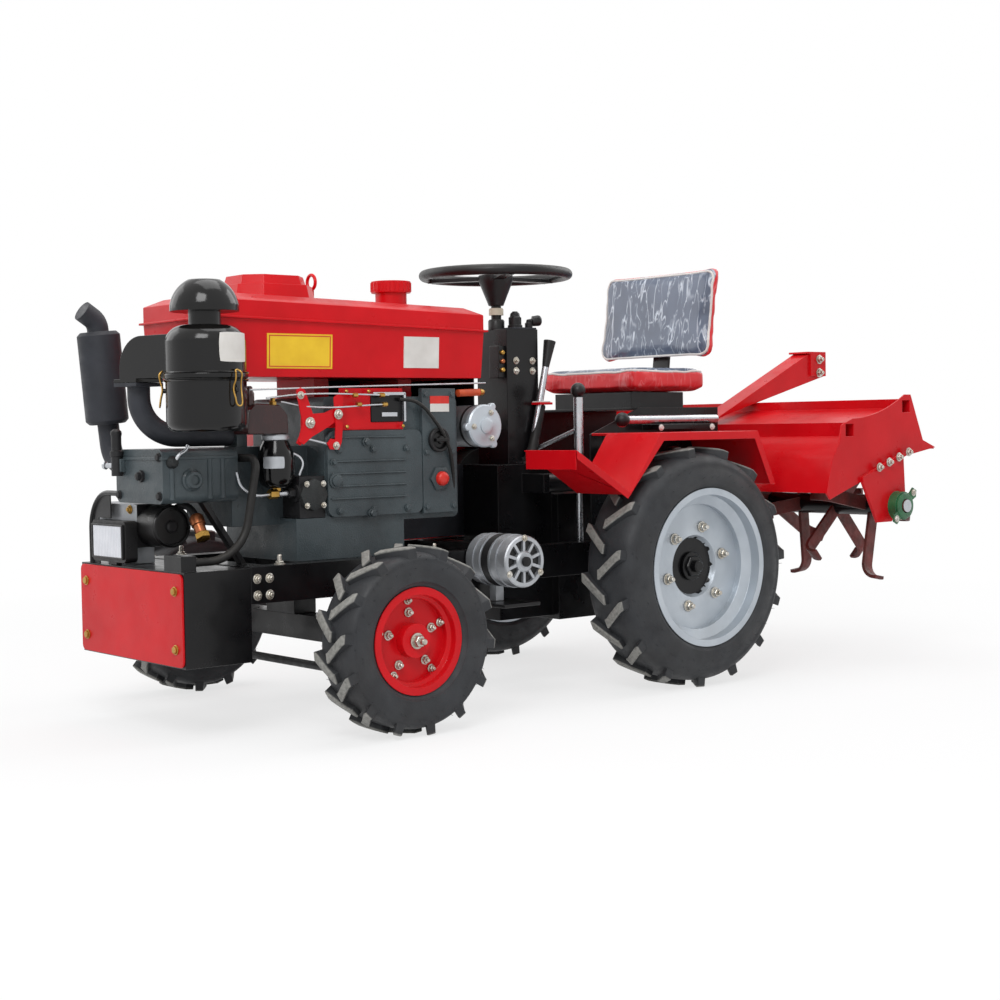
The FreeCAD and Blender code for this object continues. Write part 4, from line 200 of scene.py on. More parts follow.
finishes = {
    "redPaint": {"base": (212, 14, 26), "shade": (192, 6, 18), "patch": 7, "rough": 0.32, "spread": 0.12,
                 "coat": 0.14, "spec": 0.14, "grain": 260, "relief": 0.0004, "dust": 0.05,
                 "dustTint": (166, 92, 84)},
    "blackGloss": {"base": (9, 9, 11), "shade": (15, 15, 17), "patch": 6, "rough": 0.3, "spread": 0.14,
                   "coat": 0.2, "spec": 0.2, "grain": 240, "relief": 0.0004, "dust": 0.07,
                   "dustTint": (74, 70, 66)},
    "blackMirror": {"base": (8, 8, 9), "shade": (12, 12, 13), "patch": 6, "rough": 0.12, "spread": 0.06,
                    "coat": 0.3, "spec": 0.2, "grain": 180, "relief": 0.0003, "dust": 0.05,
                    "dustTint": (80, 76, 72)},
    "blackMatt": {"base": (56, 58, 64), "shade": (44, 46, 51), "patch": 12, "rough": 0.5, "spread": 0.2,
                  "spec": 0.25, "grain": 420, "relief": 0.0006, "dust": 0.1, "dustTint": (86, 82, 78)},
    "engineGreen": {"base": (68, 78, 82), "shade": (50, 58, 62), "patch": 10, "rough": 0.36,
                    "spread": 0.2, "coat": 0.15, "spec": 0.3, "grain": 330, "relief": 0.0014, "dust": 0.1,
                    "dustTint": (92, 92, 86)},
    "silverPaint": {"base": (196, 203, 210), "shade": (172, 180, 188), "patch": 8, "rough": 0.36,
                    "spread": 0.14, "metal": 0.55, "grain": 500, "relief": 0.0004, "dust": 0.18,
                    "dustTint": (140, 134, 124)},
    "castIron": {"base": (46, 49, 50), "shade": (28, 30, 31), "patch": 14, "rough": 0.5, "spread": 0.2,
                 "spec": 0.3, "grain": 280, "relief": 0.0016, "dust": 0.15, "dustTint": (92, 88, 80)},
    "darkSteel": {"base": (34, 34, 36), "shade": (22, 22, 24), "patch": 16, "rough": 0.46, "spread": 0.2,
                  "spec": 0.3, "grain": 380, "relief": 0.0008, "dust": 0.1, "dustTint": (84, 80, 76)},
    "brightSteel": {"base": (200, 202, 206), "shade": (180, 183, 188), "patch": 18, "rough": 0.26,
                    "spread": 0.16, "metal": 0.95, "grain": 700, "relief": 0.0002, "dust": 0.05,
                    "dustTint": (140, 134, 124)},
    "aluminium": {"base": (188, 191, 196), "shade": (152, 156, 160), "patch": 14, "rough": 0.4,
                  "spread": 0.18, "metal": 0.75, "grain": 420, "relief": 0.0009, "dust": 0.15,
                  "dustTint": (128, 122, 112)},
    "blackRubber": {"base": (16, 16, 17), "shade": (26, 26, 26), "patch": 20, "rough": 0.5,
                    "spread": 0.14, "spec": 0.3, "grain": 600, "relief": 0.0004, "dust": 0.2,
                    "dustTint": (96, 92, 86)},
    "blackPlastic": {"base": (13, 13, 15), "shade": (20, 20, 22), "patch": 15, "rough": 0.34,
                     "spread": 0.14, "spec": 0.35, "grain": 900, "relief": 0.0005, "dust": 0.12,
                     "dustTint": (104, 100, 94)},
    "tineSteel": {"base": (112, 44, 40), "shade": (66, 30, 28), "patch": 22, "rough": 0.5, "spread": 0.2,
                  "metal": 0.25, "grain": 260, "relief": 0.0012, "dust": 0.2, "dustTint": (126, 104, 88)},
    "brass": {"base": (196, 158, 84), "shade": (160, 122, 58), "patch": 30, "rough": 0.3, "spread": 0.14,
              "metal": 0.95, "grain": 800, "relief": 0.0002, "dust": 0.05, "dustTint": (128, 110, 84)},
    "yellowPlate": {"base": (238, 196, 34), "shade": (226, 180, 22), "patch": 20, "rough": 0.36,
                    "spread": 0.1, "grain": 700, "relief": 0.0002, "dust": 0.03,
                    "dustTint": (190, 160, 90)},
    "bearingGreen": {"base": (24, 110, 62), "shade": (14, 78, 44), "patch": 30, "rough": 0.36,
                     "spread": 0.16, "coat": 0.2, "grain": 380, "relief": 0.0010, "dust": 0.15,
                     "dustTint": (110, 106, 90)},
    "wireOrange": {"base": (206, 84, 34), "shade": (180, 62, 22), "patch": 40, "rough": 0.4,
                   "spread": 0.1, "grain": 900, "relief": 0.0002, "dust": 0.05,
                   "dustTint": (150, 120, 100)},
    "capRed": {"base": (214, 40, 26), "shade": (190, 26, 16), "patch": 30, "rough": 0.34, "spread": 0.1,
               "grain": 600, "relief": 0.0003, "dust": 0.05, "dustTint": (170, 110, 90)},
    "copper": {"base": (176, 108, 70), "shade": (140, 82, 52), "patch": 36, "rough": 0.34, "spread": 0.14,
               "metal": 0.9, "grain": 800, "relief": 0.0003, "dust": 0.08, "dustTint": (120, 96, 80)},
    "creamPlastic": {"base": (216, 206, 186), "shade": (196, 184, 162), "patch": 20, "rough": 0.4,
                     "spread": 0.12, "grain": 700, "relief": 0.0003, "dust": 0.12,
                     "dustTint": (150, 136, 116)},
    "boltSteel": {"base": (206, 204, 198), "shade": (168, 160, 146), "patch": 60, "rough": 0.28,
                  "spread": 0.16, "metal": 0.9, "grain": 900, "relief": 0.0003, "dust": 0.05,
                  "dustTint": (130, 120, 108)},
    "lampLens": {"base": (222, 224, 230), "shade": (206, 209, 216), "patch": 20, "rough": 0.16,
                 "spread": 0.06, "coat": 0.6, "spec": 0.5, "grain": 300, "relief": 0.0002, "dust": 0.04,
                 "dustTint": (170, 168, 160)},
    "smokedRed": {"base": (58, 22, 22), "shade": (38, 14, 15), "patch": 18, "rough": 0.2, "spread": 0.08,
                  "coat": 0.4, "spec": 0.3, "grain": 260, "relief": 0.0002, "dust": 0.05,
                  "dustTint": (92, 84, 78)},
    "whitePlate": {"base": (226, 224, 220), "shade": (206, 203, 198), "patch": 16, "rough": 0.42,
                   "spread": 0.12, "grain": 700, "relief": 0.0002, "dust": 0.06,
                   "dustTint": (170, 160, 146)},
}
mixing = {"coatRough": 0.12, "grainStrength": 0.7, "grainDetail": 3, "patchDetail": 5, "rubbedScale": 3.1,
          "rubbedDetail": 6, "dustScale": 11, "dustDetail": 6, "dustReach": (0.35, 0.7),
          "dustUp": (0.0, 0.95), "dustLeast": 0.15}


def dusted(tree, coordinates, colour, look):
    # dust by how far a surface faces up, broken into patches
    up = tree.nodes.new("ShaderNodeSeparateXYZ")
    tree.links.new(coordinates.outputs["Normal"], up.inputs[0])
    facingUp = between(tree, up.outputs["Z"], mixing["dustLeast"], 1.0, *mixing["dustUp"])
    cloud = fromNoise(tree, coordinates.outputs["Object"], mixing["dustScale"], mixing["dustDetail"])
    patches = between(tree, cloud, 0.0, 1.0, *mixing["dustReach"])
    share = maths(tree, "MULTIPLY", maths(tree, "MULTIPLY", facingUp, patches), look["dust"] * 2)
    return mixed(tree, share, colour, tint(*look["dustTint"]))


def makeFinish(name, look):
    material, tree, shader = newMaterial(name)
    coordinates = tree.nodes.new("ShaderNodeTexCoord")
    place = coordinates.outputs["Object"]
    patches = between(tree, fromNoise(tree, place, look["patch"], mixing["patchDetail"]), 0.0, 1.0)
    colour = mixed(tree, patches, tint(*look["base"]), tint(*look["shade"]))
    tree.links.new(dusted(tree, coordinates, colour, look), shader.inputs["Base Color"])
    rubbed = fromNoise(tree, place, look["patch"] * mixing["rubbedScale"], mixing["rubbedDetail"])
    roughness = between(tree, rubbed, look["rough"] - look["spread"] / 2, look["rough"] + look["spread"])
    tree.links.new(roughness, shader.inputs["Roughness"])
    shader.inputs["Metallic"].default_value = look.get("metal", 0)
    shader.inputs["Coat Weight"].default_value = look.get("coat", 0)
    shader.inputs["Coat Roughness"].default_value = mixing["coatRough"]
    shader.inputs["Specular IOR Level"].default_value = look.get("spec", 0.5)
    grain = fromNoise(tree, place, look["grain"], mixing["grainDetail"])
    tree.links.new(bumped(tree, grain, look["relief"], mixing["grainStrength"]), shader.inputs["Normal"])
    return material


finish = {name: makeFinish(name, look) for name, look in finishes.items()}
slotFinish = {
    "red_paint": "redPaint", "black_paint": "blackGloss", "engine_green": "engineGreen",
    "silver_paint": "silverPaint", "cast_iron": "castIron", "dark_steel": "darkSteel",
    "bright_steel": "brightSteel", "aluminium": "aluminium", "black_rubber": "blackRubber",
    "black_plastic": "blackPlastic", "tine_steel": "tineSteel",
}
ownFinish = {"air_cleaner": "blackMirror", "muffler": "blackMatt", "intake_pipe": "blackMatt"}
print(len(finish), "finishes mixed")


# shop helpers: choosing, modifiers, copies and joining

def only(*chosen):
    if bpy.context.mode != "OBJECT":
        bpy.ops.object.mode_set(mode="OBJECT")
    bpy.ops.object.select_all(action="DESELECT")
    for piece in chosen:
        piece.select_set(True)
    bpy.context.view_layer.objects.active = chosen[0]


def editing(piece):
    only(piece)
    bpy.ops.object.mode_set(mode="EDIT")


def pick(piece, wanted):
    # edit mode with only the wanted faces selected
    editing(piece)
    bpy.ops.mesh.select_mode(type="FACE")
    bpy.ops.mesh.select_all(action="DESELECT")
    bpy.ops.object.mode_set(mode="OBJECT")
    for face in piece.data.polygons:
        face.select = wanted(face)
    bpy.ops.object.mode_set(mode="EDIT")


def closedUp(piece):
    # doubles merged, then every face turned outwards
    editing(piece)
    bpy.ops.mesh.select_all(action="SELECT")
    bpy.ops.mesh.remove_doubles(threshold=0.00001)
    bpy.ops.mesh.normals_make_consistent(inside=False)
    bpy.ops.object.mode_set(mode="OBJECT")


def flatsJoined(piece, degrees):
    # a solid's loose triangles merged, and what lies flat made one face
    editing(piece)
    bpy.ops.mesh.select_all(action="SELECT")
    bpy.ops.mesh.remove_doubles(threshold=0.00002)
    bpy.ops.mesh.dissolve_limited(angle_limit=math.radians(degrees))
    bpy.ops.object.mode_set(mode="OBJECT")


def applied(piece, kind, **settings):
    # a modifier set and applied at once
    modifier = piece.modifiers.new(kind.lower(), kind)
    for name, value in settings.items():
        setattr(modifier, name, value)
    only(piece)
    bpy.ops.object.modifier_apply(modifier=modifier.name)


def smoothed(piece, angle=32):
    only(piece)
    bpy.ops.object.shade_smooth_by_angle(angle=math.radians(angle))


def eased(piece, width, segments=2, angle=32):
    applied(piece, "BEVEL", width=width, segments=segments, limit_method="ANGLE",
            angle_limit=math.radians(angle), use_clamp_overlap=False)
    smoothed(piece, angle)
    applied(piece, "WEIGHTED_NORMAL", keep_sharp=True)


def placed(name):
    # the primitive just added, named, with its place and size in its mesh
    piece = bpy.context.object
    piece.name = name
    bpy.ops.object.transform_apply(location=True, rotation=True, scale=True)
    return piece


def block(name, low, high):
    low, high = Vector(low), Vector(high)
    bpy.ops.object.select_all(action="DESELECT")
    bpy.ops.mesh.primitive_cube_add(size=1, location=(low + high) / 2, scale=high - low)
    return placed(name)


def lathe(name, profile, steps=40, ring=False):
    # profile is (height, radius) pairs about the upright axis; a ring closes on its first pair
    height, radius = profile[0]
    bpy.ops.object.select_all(action="DESELECT")
    cap = "NOTHING" if ring else "NGON"
    bpy.ops.mesh.primitive_circle_add(vertices=steps, radius=radius, location=(0, 0, height), fill_type=cap)
    piece = placed(name)
    bpy.ops.object.mode_set(mode="EDIT")
    bpy.ops.mesh.select_mode(type="VERT")
    bpy.ops.mesh.select_all(action="SELECT")
    for nextHeight, nextRadius in profile[1:] + (profile[:1] if ring else []):
        rise = {"value": (0, 0, nextHeight - height)}
        bpy.ops.mesh.extrude_region_move(TRANSFORM_OT_translate=rise)
        grow = nextRadius / radius
        if abs(grow - 1) > 1e-6:
            bpy.ops.transform.resize(value=(grow, grow, 1), center_override=(0, 0, nextHeight))
        height, radius = nextHeight, nextRadius
    bpy.ops.object.mode_set(mode="OBJECT")
    closedUp(piece)
    return piece


def aimed(place, along):
    # from the upright axis at the origin to an axis at a place
    turn = Vector(upright).rotation_difference(Vector(along)).to_matrix().to_4x4()
    return Matrix.Translation(Vector(place)) @ turn


def moved(piece, matrix):
    piece.data.transform(matrix)
    piece.data.update()
    return piece


def copied(piece, matrix):
    return moved(linked(piece.name, piece.data.copy()), matrix)


def mirrored(piece, name):
    # the same on the machine's other side, its faces turned outwards again
    twin = copied(piece, Matrix.Scale(-1, 4, toLeft))
    twin.name = name
    closedUp(twin)
    return twin


def joined(name, parts):
    only(*parts)
    if len(parts) > 1:
        bpy.ops.object.join()
    parts[0].name = name
    parts[0].data.name = name
    return parts[0]


def finished(piece, paint, body):
    piece.data.materials.clear()
    piece.data.materials.append(finish[paint])
    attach(piece, body)
    return piece


def repaint(piece, paint, where):
    # part of a dressed solid in another finish, picked by where its faces lie
    piece.data.materials.append(finish[paint])
    number = len(piece.data.materials) - 1
    points = piece.data.vertices
    for face in piece.data.polygons:
        if all(where(points[corner].co) for corner in face.vertices):
            face.material_index = number


# dressing: a copy of each solid with its flats joined and its edges eased

dressing = {"edge": 0.0012, "flat": 0.6}
remade = ("seat_cushion", "seat_backrest", "fuel_filter")  # made anew further down, as the tyres are


def dress(node):
    piece = linked(node + "Dressed", frame["nodes"][node].data.copy())
    flatsJoined(piece, dressing["flat"])
    finished(piece, ownFinish.get(node, slotFinish[shown[node]]), bodyOf[node])
    eased(piece, dressing["edge"])
    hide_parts(node)
    return piece


dressed = {node: dress(node) for node in sorted(shown) if "tyre" not in node and node not in remade}
print(len(dressed), "solids dressed")


# tyres: round carcass, ribbed sidewall, lugs in two rows with pale dry tops, and mould hairs

wheels = {
    "front": {"tread": 0.054, "tip": 0.204, "lugs": 14, "lugWidth": 0.026, "slant": 0.81, "root": 0.034,
              "hairs": 60,
              "wall": [(0.042, 0.103), (0.042, 0.1168), (0.0475, 0.1215), (0.0515, 0.127), (0.0535, 0.1275),
                       (0.0545, 0.130), (0.0545, 0.132), (0.0568, 0.137), (0.0592, 0.147), (0.060, 0.158),
                       (0.0592, 0.166), (0.0572, 0.1735), (0.0576, 0.1755), (0.0545, 0.1805),
                       (0.048, 0.1850), (0.036, 0.1880), (0.018, 0.1898), (0.0, 0.1902)]},
    "rear": {"tread": 0.064, "tip": 0.300, "lugs": 15, "lugWidth": 0.029, "slant": 0.81, "root": 0.036,
             "hairs": 70,
             "wall": [(0.080, 0.184), (0.080, 0.1978), (0.0838, 0.2015), (0.0862, 0.2050), (0.0872, 0.2060),
                      (0.0878, 0.2085), (0.0876, 0.2110), (0.0880, 0.2150), (0.0876, 0.2230),
                      (0.0858, 0.2330), (0.0828, 0.2440), (0.0790, 0.2545), (0.0796, 0.2565),
                      (0.0745, 0.2660), (0.0670, 0.2745), (0.0560, 0.2805), (0.0400, 0.2840),
                      (0.0200, 0.2856), (0.0, 0.2860)]},
}
lugShape = {"draws": 6, "overlap": 0.006, "thickness": 0.004, "topTaper": 0.84, "endTaper": (0.92, 0.96),
            "edge": 0.0016}
hair = {"profile": [(0, 0.0006), (0.004, 0.0005), (0.009, 0.0002)], "wall": (8, 14), "sink": 0.0008,
        "scatter": 2}
rubber = {"base": (40, 41, 44), "shade": (54, 56, 59), "dust": (84, 82, 78), "dry": (150, 149, 144),
          "spec": 0.3, "dustShare": 0.16, "dryDepth": (0.0052,
                                                       0.0022), "rough": (0.46, 0.68), "relief": 0.0006}


def makeTyreFinish(name, axleY, axleZ, tip):
    # dark rubber, dusty in patches, dry and pale on top of the lugs
    material, tree, shader = newMaterial(name)
    place = tree.nodes.new("ShaderNodeTexCoord").outputs["Object"]
    centred = tree.nodes.new("ShaderNodeMapping")
    centred.inputs["Location"].default_value = (0, -axleY, -axleZ)
    tree.links.new(place, centred.inputs["Vector"])
    parts = tree.nodes.new("ShaderNodeSeparateXYZ")
    tree.links.new(centred.outputs[0], parts.inputs[0])
    disc = tree.nodes.new("ShaderNodeCombineXYZ")
    tree.links.new(parts.outputs["Y"], disc.inputs["Y"])
    tree.links.new(parts.outputs["Z"], disc.inputs["Z"])
    reach = lengthOf(tree, disc.outputs[0])
    shader.inputs["Specular IOR Level"].default_value = rubber["spec"]
    patches = between(tree, fromNoise(tree, place, 13, 6), 0.0, 1.0)
    colour = mixed(tree, patches, tint(*rubber["base"]), tint(*rubber["shade"]))
    dusty = between(tree, fromNoise(tree, place, 7, 7), 0.0, 1.0, 0.42, 0.75)
    colour = mixed(tree, maths(tree, "MULTIPLY", dusty, rubber["dustShare"]), colour, tint(*rubber["dust"]))
    dry = between(tree, reach, 0.0, 1.0, *(tip - depth for depth in rubber["dryDepth"]))
    worn = between(tree, fromNoise(tree, place, 120, 6), 0.55, 1.0, 0.3, 0.62)
    colour = mixed(tree, maths(tree, "MULTIPLY", dry, worn), colour, tint(*rubber["dry"]))
    tree.links.new(colour, shader.inputs["Base Color"])
    tree.links.new(between(tree, fromNoise(tree, place, 34, 5), *rubber["rough"]),
                   shader.inputs["Roughness"])
    tree.links.new(bumped(tree, fromNoise(tree, place, 480, 4), rubber["relief"]), shader.inputs["Normal"])
    return material


def makeLug(look):
    # a narrow block drawn out across the tread and turned about the axle a little at each step
    draws, overlap, start = lugShape["draws"], lugShape["overlap"], lugShape["thickness"] / 2
    length = look["tread"] + overlap
    sweep = length * look["slant"] / look["tip"]
    low, high = look["tip"] - look["root"], look["tip"]
    half = look["lugWidth"] / 2
    lug = block("lug", (-overlap - start, -half, low), (start - overlap, half, high))
    pick(lug, lambda face: face.normal.z > 0.9)
    bpy.ops.transform.resize(value=(1, lugShape["topTaper"], 1), center_override=(0, 0, high))
    pick(lug, lambda face: face.normal.x > 0.9)
    for draw in range(draws):
        bpy.ops.mesh.extrude_region_move(TRANSFORM_OT_translate={"value": (length / draws, 0, 0)})
        bpy.ops.transform.rotate(value=sweep / draws, orient_axis="X", center_override=(0, 0, 0))
    bpy.ops.transform.resize(value=(1, *lugShape["endTaper"]), center_override=(0, 0, low))
    bpy.ops.object.mode_set(mode="OBJECT")
    closedUp(lug)
    moved(lug, Matrix.Rotation(-sweep / 2, 4, "X"))
    eased(lug, lugShape["edge"], 2, 50)
    return lug


def makeTyre(end, look, sides=96):
    wall = look["wall"]
    section = wall + [(-x, radius) for x, radius in reversed(wall[:-1])]
    carcass = lathe(end + "Carcass", section, sides, ring=True)
    moved(carcass, Matrix.Rotation(math.radians(90), 4, "Y"))
    smoothed(carcass, 50)
    lug = makeLug(look)
    parts = [carcass]
    for number in range(2 * look["lugs"]):
        turn = Matrix.Rotation(math.pi * number / look["lugs"], 4, "X")
        side = Matrix.Scale(-1, 4, toLeft) if number % 2 else Matrix.Identity(4)
        parts.append(copied(lug, turn @ side))
    for part in parts[1:]:
        closedUp(part)
    bristle = lathe("hair", hair["profile"], 5)
    chance = random.Random(len(end))
    for number in range(look["hairs"]):
        turn = math.radians(360 * number / look["hairs"] + chance.uniform(-hair["scatter"], hair["scatter"]))
        x, radius = chance.choice(wall[slice(*hair["wall"])])
        for side in (1, -1):
            lean = Vector((side * chance.uniform(0.5, 1), chance.uniform(-0.5, 0.5),
                           chance.uniform(0.1, 0.7)))
            root = aimed((side * (x - hair["sink"]), 0, radius), lean)
            parts.append(copied(bristle, Matrix.Rotation(turn, 4, "X") @ root))
    bpy.data.objects.remove(bristle)
    bpy.data.objects.remove(lug)
    return joined(end + "TyreForm", parts)


for end, look in wheels.items():
    form = makeTyre(end, look)
    low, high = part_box(end + "_tyre_left")
    finish[end + "Tyre"] = makeTyreFinish(end + "TyreRubber", (low.y + high.y) / 2, look["tip"],
                                          look["tip"])
    for side in ("left", "right"):
        node = end + "_tyre_" + side
        low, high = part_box(node)
        middle = (low + high) / 2
        middle.z = look["tip"]
        flip = Matrix.Identity(4) if side == "left" else Matrix.Scale(-1, 4, toLeft)
        tyre = copied(form, Matrix.Translation(middle) @ flip)
        tyre.name = end + "Tyre" + side.title()
        closedUp(tyre)
        finished(tyre, end + "Tyre", bodyOf[node])
        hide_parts(node)
    bpy.data.objects.remove(form)
print("tyres stand")


# seat: two padded boxes, red round the sides, grey on the face, white piping, still in their clear film

seat = {
    "cushion": {"node": "seat_cushion", "face": (0, 0, 1), "start": 0.007, "cap": 0.012, "piping": 0.0034,
                "corner": 0.022, "fill": 0.8},
    "backrest": {"node": "seat_backrest", "face": (0, -0.985, 0.172), "start": 0.007, "cap": 0.014,
                 "piping": 0.0034, "corner": 0.026, "fill": 0.75},
}
# each vinyl's streak is the colour of the painted highlight along the film's creases, glare how much of it
# is mixed in
vinyls = {
    "seatGrey": {"base": (86, 98, 120), "shade": (64, 74, 94), "streak": (214, 222, 234), "glare": 0.9,
                 "coat": 0.8},
    "seatRed": {"base": (222, 22, 34), "shade": (200, 14, 26), "streak": (246, 190, 194), "glare": 0.24,
                "coat": 0.3},
    "pipingWhite": {"base": (226, 222, 218), "shade": (204, 198, 194), "streak": (246, 246, 246),
                    "glare": 0.3, "coat": 0.4},
}
# creases: noise fields whose middles carry the painted highlight lines, each of the given width; the first
# also bumps the coat
film = {
    "creases": [{"turn": (0.1, 0.5, 0.2), "size": 5.0, "width": 0.012},
                {"turn": (0.2, -0.45, 0.1), "size": 10.0, "width": 0.016},
                {"turn": (0, 0.2, 0), "size": 19.0, "width": 0.026}],
    "stretch": (2.0, 1.6, 0.5), "detail": 2.5, "twist": 0.35, "depth": 0.006, "strength": 0.9, "rough": 0.08,
    "vinylRough": 0.5, "vinylGrain": 0.0005,
}
cloth = {"pressure": 4, "quality": 6, "frames": 20, "voxel": 0.006, "factor": 0.5, "iterations": 6,
         "clearance": 0.001, "greyDepth": 0.02}
sewing = {"steps": 16, "longer": 0.05, "out": 0.006, "up": 0.004}


def makeVinyl(name, look):
    # vinyl with fine grain under a glossy film: the film's creases are bumps in the coat, and painted
    # highlight streaks along them are mixed into the base colour
    material, tree, shader = newMaterial(name)
    place = tree.nodes.new("ShaderNodeTexCoord").outputs["Object"]
    patches = between(tree, fromNoise(tree, place, 9, 4), 0.0, 1.0)
    colour = mixed(tree, patches, tint(*look["base"]), tint(*look["shade"]))
    paintedHighlights, height = None, None
    for crease in film["creases"]:
        drawn = tree.nodes.new("ShaderNodeMapping")
        drawn.inputs["Rotation"].default_value = crease["turn"]
        drawn.inputs["Scale"].default_value = film["stretch"]
        tree.links.new(place, drawn.inputs["Vector"])
        cloud = fromNoise(tree, drawn.outputs[0], crease["size"], film["detail"], film["twist"])
        # painted highlight: a thin line where the crease noise crosses its middle, broken into patches
        apart = maths(tree, "ABSOLUTE", maths(tree, "SUBTRACT", cloud, 0.5))
        line = between(tree, apart, 1.0, 0.0, 0.0, crease["width"])
        patchy = between(tree, fromNoise(tree, place, crease["size"] * 1.7, 3), 0.0, 1.0, 0.42, 0.6)
        line = maths(tree, "MULTIPLY", line, patchy)
        height = height or cloud
        paintedHighlights = maths(tree, "MAXIMUM", paintedHighlights, line) if paintedHighlights else line
    share = maths(tree, "MULTIPLY", paintedHighlights, look["glare"])
    tree.links.new(mixed(tree, share, colour, tint(*look["streak"])), shader.inputs["Base Color"])
    shader.inputs["Roughness"].default_value = film["vinylRough"]
    shader.inputs["Coat Weight"].default_value = look["coat"]
    shader.inputs["Coat Roughness"].default_value = film["rough"]
    grain = bumped(tree, fromNoise(tree, place, 700, 3), film["vinylGrain"])
    tree.links.new(grain, shader.inputs["Normal"])
    tree.links.new(bumped(tree, height, film["depth"], film["strength"]), shader.inputs["Coat Normal"])
    return material


finish.update({name: makeVinyl(name, look) for name, look in vinyls.items()})


def swollen(pad, cap):
    # blown up a little as cloth, each point held within the cap
    before = [vertex.co.copy() for vertex in pad.data.vertices]
    scene = bpy.context.scene
    scene.frame_set(1)
    swell = pad.modifiers.new("cloth", "CLOTH")
    swell.settings.use_pressure = True
    swell.settings.uniform_pressure_force = cloth["pressure"]
    swell.settings.effector_weights.gravity = 0
    swell.settings.quality = cloth["quality"]
    swell.point_cache.frame_start = 1
    swell.point_cache.frame_end = cloth["frames"]
    for step in range(1, cloth["frames"] + 1):
        scene.frame_set(step)
    only(pad)
    bpy.ops.object.modifier_apply(modifier=swell.name)
    scene.frame_set(1)
    for vertex, start in zip(pad.data.vertices, before):
        shift = vertex.co - start
        if shift.length > cap:
            vertex.co = start + shift.normalized() * cap


def padAxes(face):
    # along the pad, up its face and out of it
    across = Vector(toLeft)
    return across, face.cross(across).normalized(), face


def fitted(pad, face, low, high):
    # stretched back to fill the solid's own length, width and thickness
    for axis, start, end in zip(padAxes(face), low, high):
        reach = [vertex.co.dot(axis) for vertex in pad.data.vertices]
        middle, half = (max(reach) + min(reach)) / 2, (max(reach) - min(reach)) / 2
        wanted, wantedHalf = (start + end) / 2, (end - start) / 2
        for vertex, place in zip(pad.data.vertices, reach):
            vertex.co += axis * (wanted + (place - middle) * wantedHalf / half - place)


def roundCorners(pad, face, offset):
    # the four edges that run with the face's normal
    ends = [[pad.data.vertices[corner].co for corner in edge.vertices] for edge in pad.data.edges]
    runs = [(start - end).normalized() for start, end in ends]
    editing(pad)
    bpy.ops.mesh.select_mode(type="EDGE")
    bpy.ops.mesh.select_all(action="DESELECT")
    bpy.ops.object.mode_set(mode="OBJECT")
    for number, run in enumerate(runs):
        if abs(run.dot(face)) > 0.95:
            pad.data.edges[number].select = True
    bpy.ops.object.mode_set(mode="EDIT")
    bpy.ops.mesh.bevel(offset=offset, segments=4, affect="EDGES")
    bpy.ops.object.mode_set(mode="OBJECT")


def makePad(name, look):
    node = look["node"]
    pad = linked(name + "Pad", frame["nodes"][node].data.copy())
    pad.data.materials.clear()
    flatsJoined(pad, 1)
    face = Vector(look["face"]).normalized()
    room = [[vertex.co.dot(axis) for vertex in pad.data.vertices] for axis in padAxes(face)]
    editing(pad)
    bpy.ops.transform.shrink_fatten(value=-look["start"], use_even_offset=True)
    bpy.ops.object.mode_set(mode="OBJECT")
    roundCorners(pad, face, look["corner"])
    front = [polygon for polygon in pad.data.polygons if polygon.normal.dot(face) > 0.97]
    outline = [pad.data.vertices[corner].co.copy() for polygon in front for corner in polygon.vertices]
    applied(pad, "REMESH", mode="VOXEL", voxel_size=cloth["voxel"])
    swollen(pad, look["cap"])
    applied(pad, "SMOOTH", factor=cloth["factor"], iterations=cloth["iterations"])
    gap = cloth["clearance"]
    fitted(pad, face, [min(reach) + gap for reach in room], [max(reach) - gap for reach in room])
    applied(pad, "SUBSURF", levels=1, render_levels=1)
    bpy.ops.object.shade_smooth()
    for vinyl in ("seatRed", "seatGrey"):
        pad.data.materials.append(finish[vinyl])
    level = max(point.dot(face) for point in outline)
    for polygon in pad.data.polygons:
        middle = polygon.center.dot(face)
        grey = polygon.normal.dot(face) > 0.6 and middle > level - cloth["greyDepth"]
        polygon.material_index = 1 if grey else 0
    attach(pad, bodyOf[node])
    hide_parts(node)
    return pad, outline


def makePiping(name, outline, look, pad):
    # a round cord sewn along the edge of the face, laid against the swollen pad
    face = Vector(look["face"]).normalized()
    line = bpy.data.curves.new(name, "CURVE")
    line.dimensions = "3D"
    line.bevel_depth = look["piping"]
    line.bevel_resolution = 3
    route = []
    for start, end in zip(outline, outline[1:] + outline[:1]):
        steps = sewing["steps"] if (end - start).length > sewing["longer"] else 1
        route += [start.lerp(end, step / steps) for step in range(steps)]
    spline = line.splines.new("POLY")
    spline.points.add(len(route) - 1)
    middle = sum(outline, Vector()) / len(outline)
    for point, place in zip(spline.points, route):
        outward = (place - middle).normalized()
        found, lain = pad.closest_point_on_mesh(place + outward * sewing["out"] + face * sewing["up"])[:2]
        point.co = (*(lain if found else place), 1)
    spline.use_cyclic_u = True
    cord = linked(name, line)
    only(cord)
    bpy.ops.object.convert(target="MESH")
    closedUp(cord)
    smoothed(cord, 60)
    return finished(cord, "pipingWhite", bodyOf[look["node"]])


for name, look in seat.items():
    pad, outline = makePad(name, look)
    makePiping(name + "Piping", outline, look, pad)
print("seat padded")


# bolts, nuts and studs: modelled once, then copied to each place

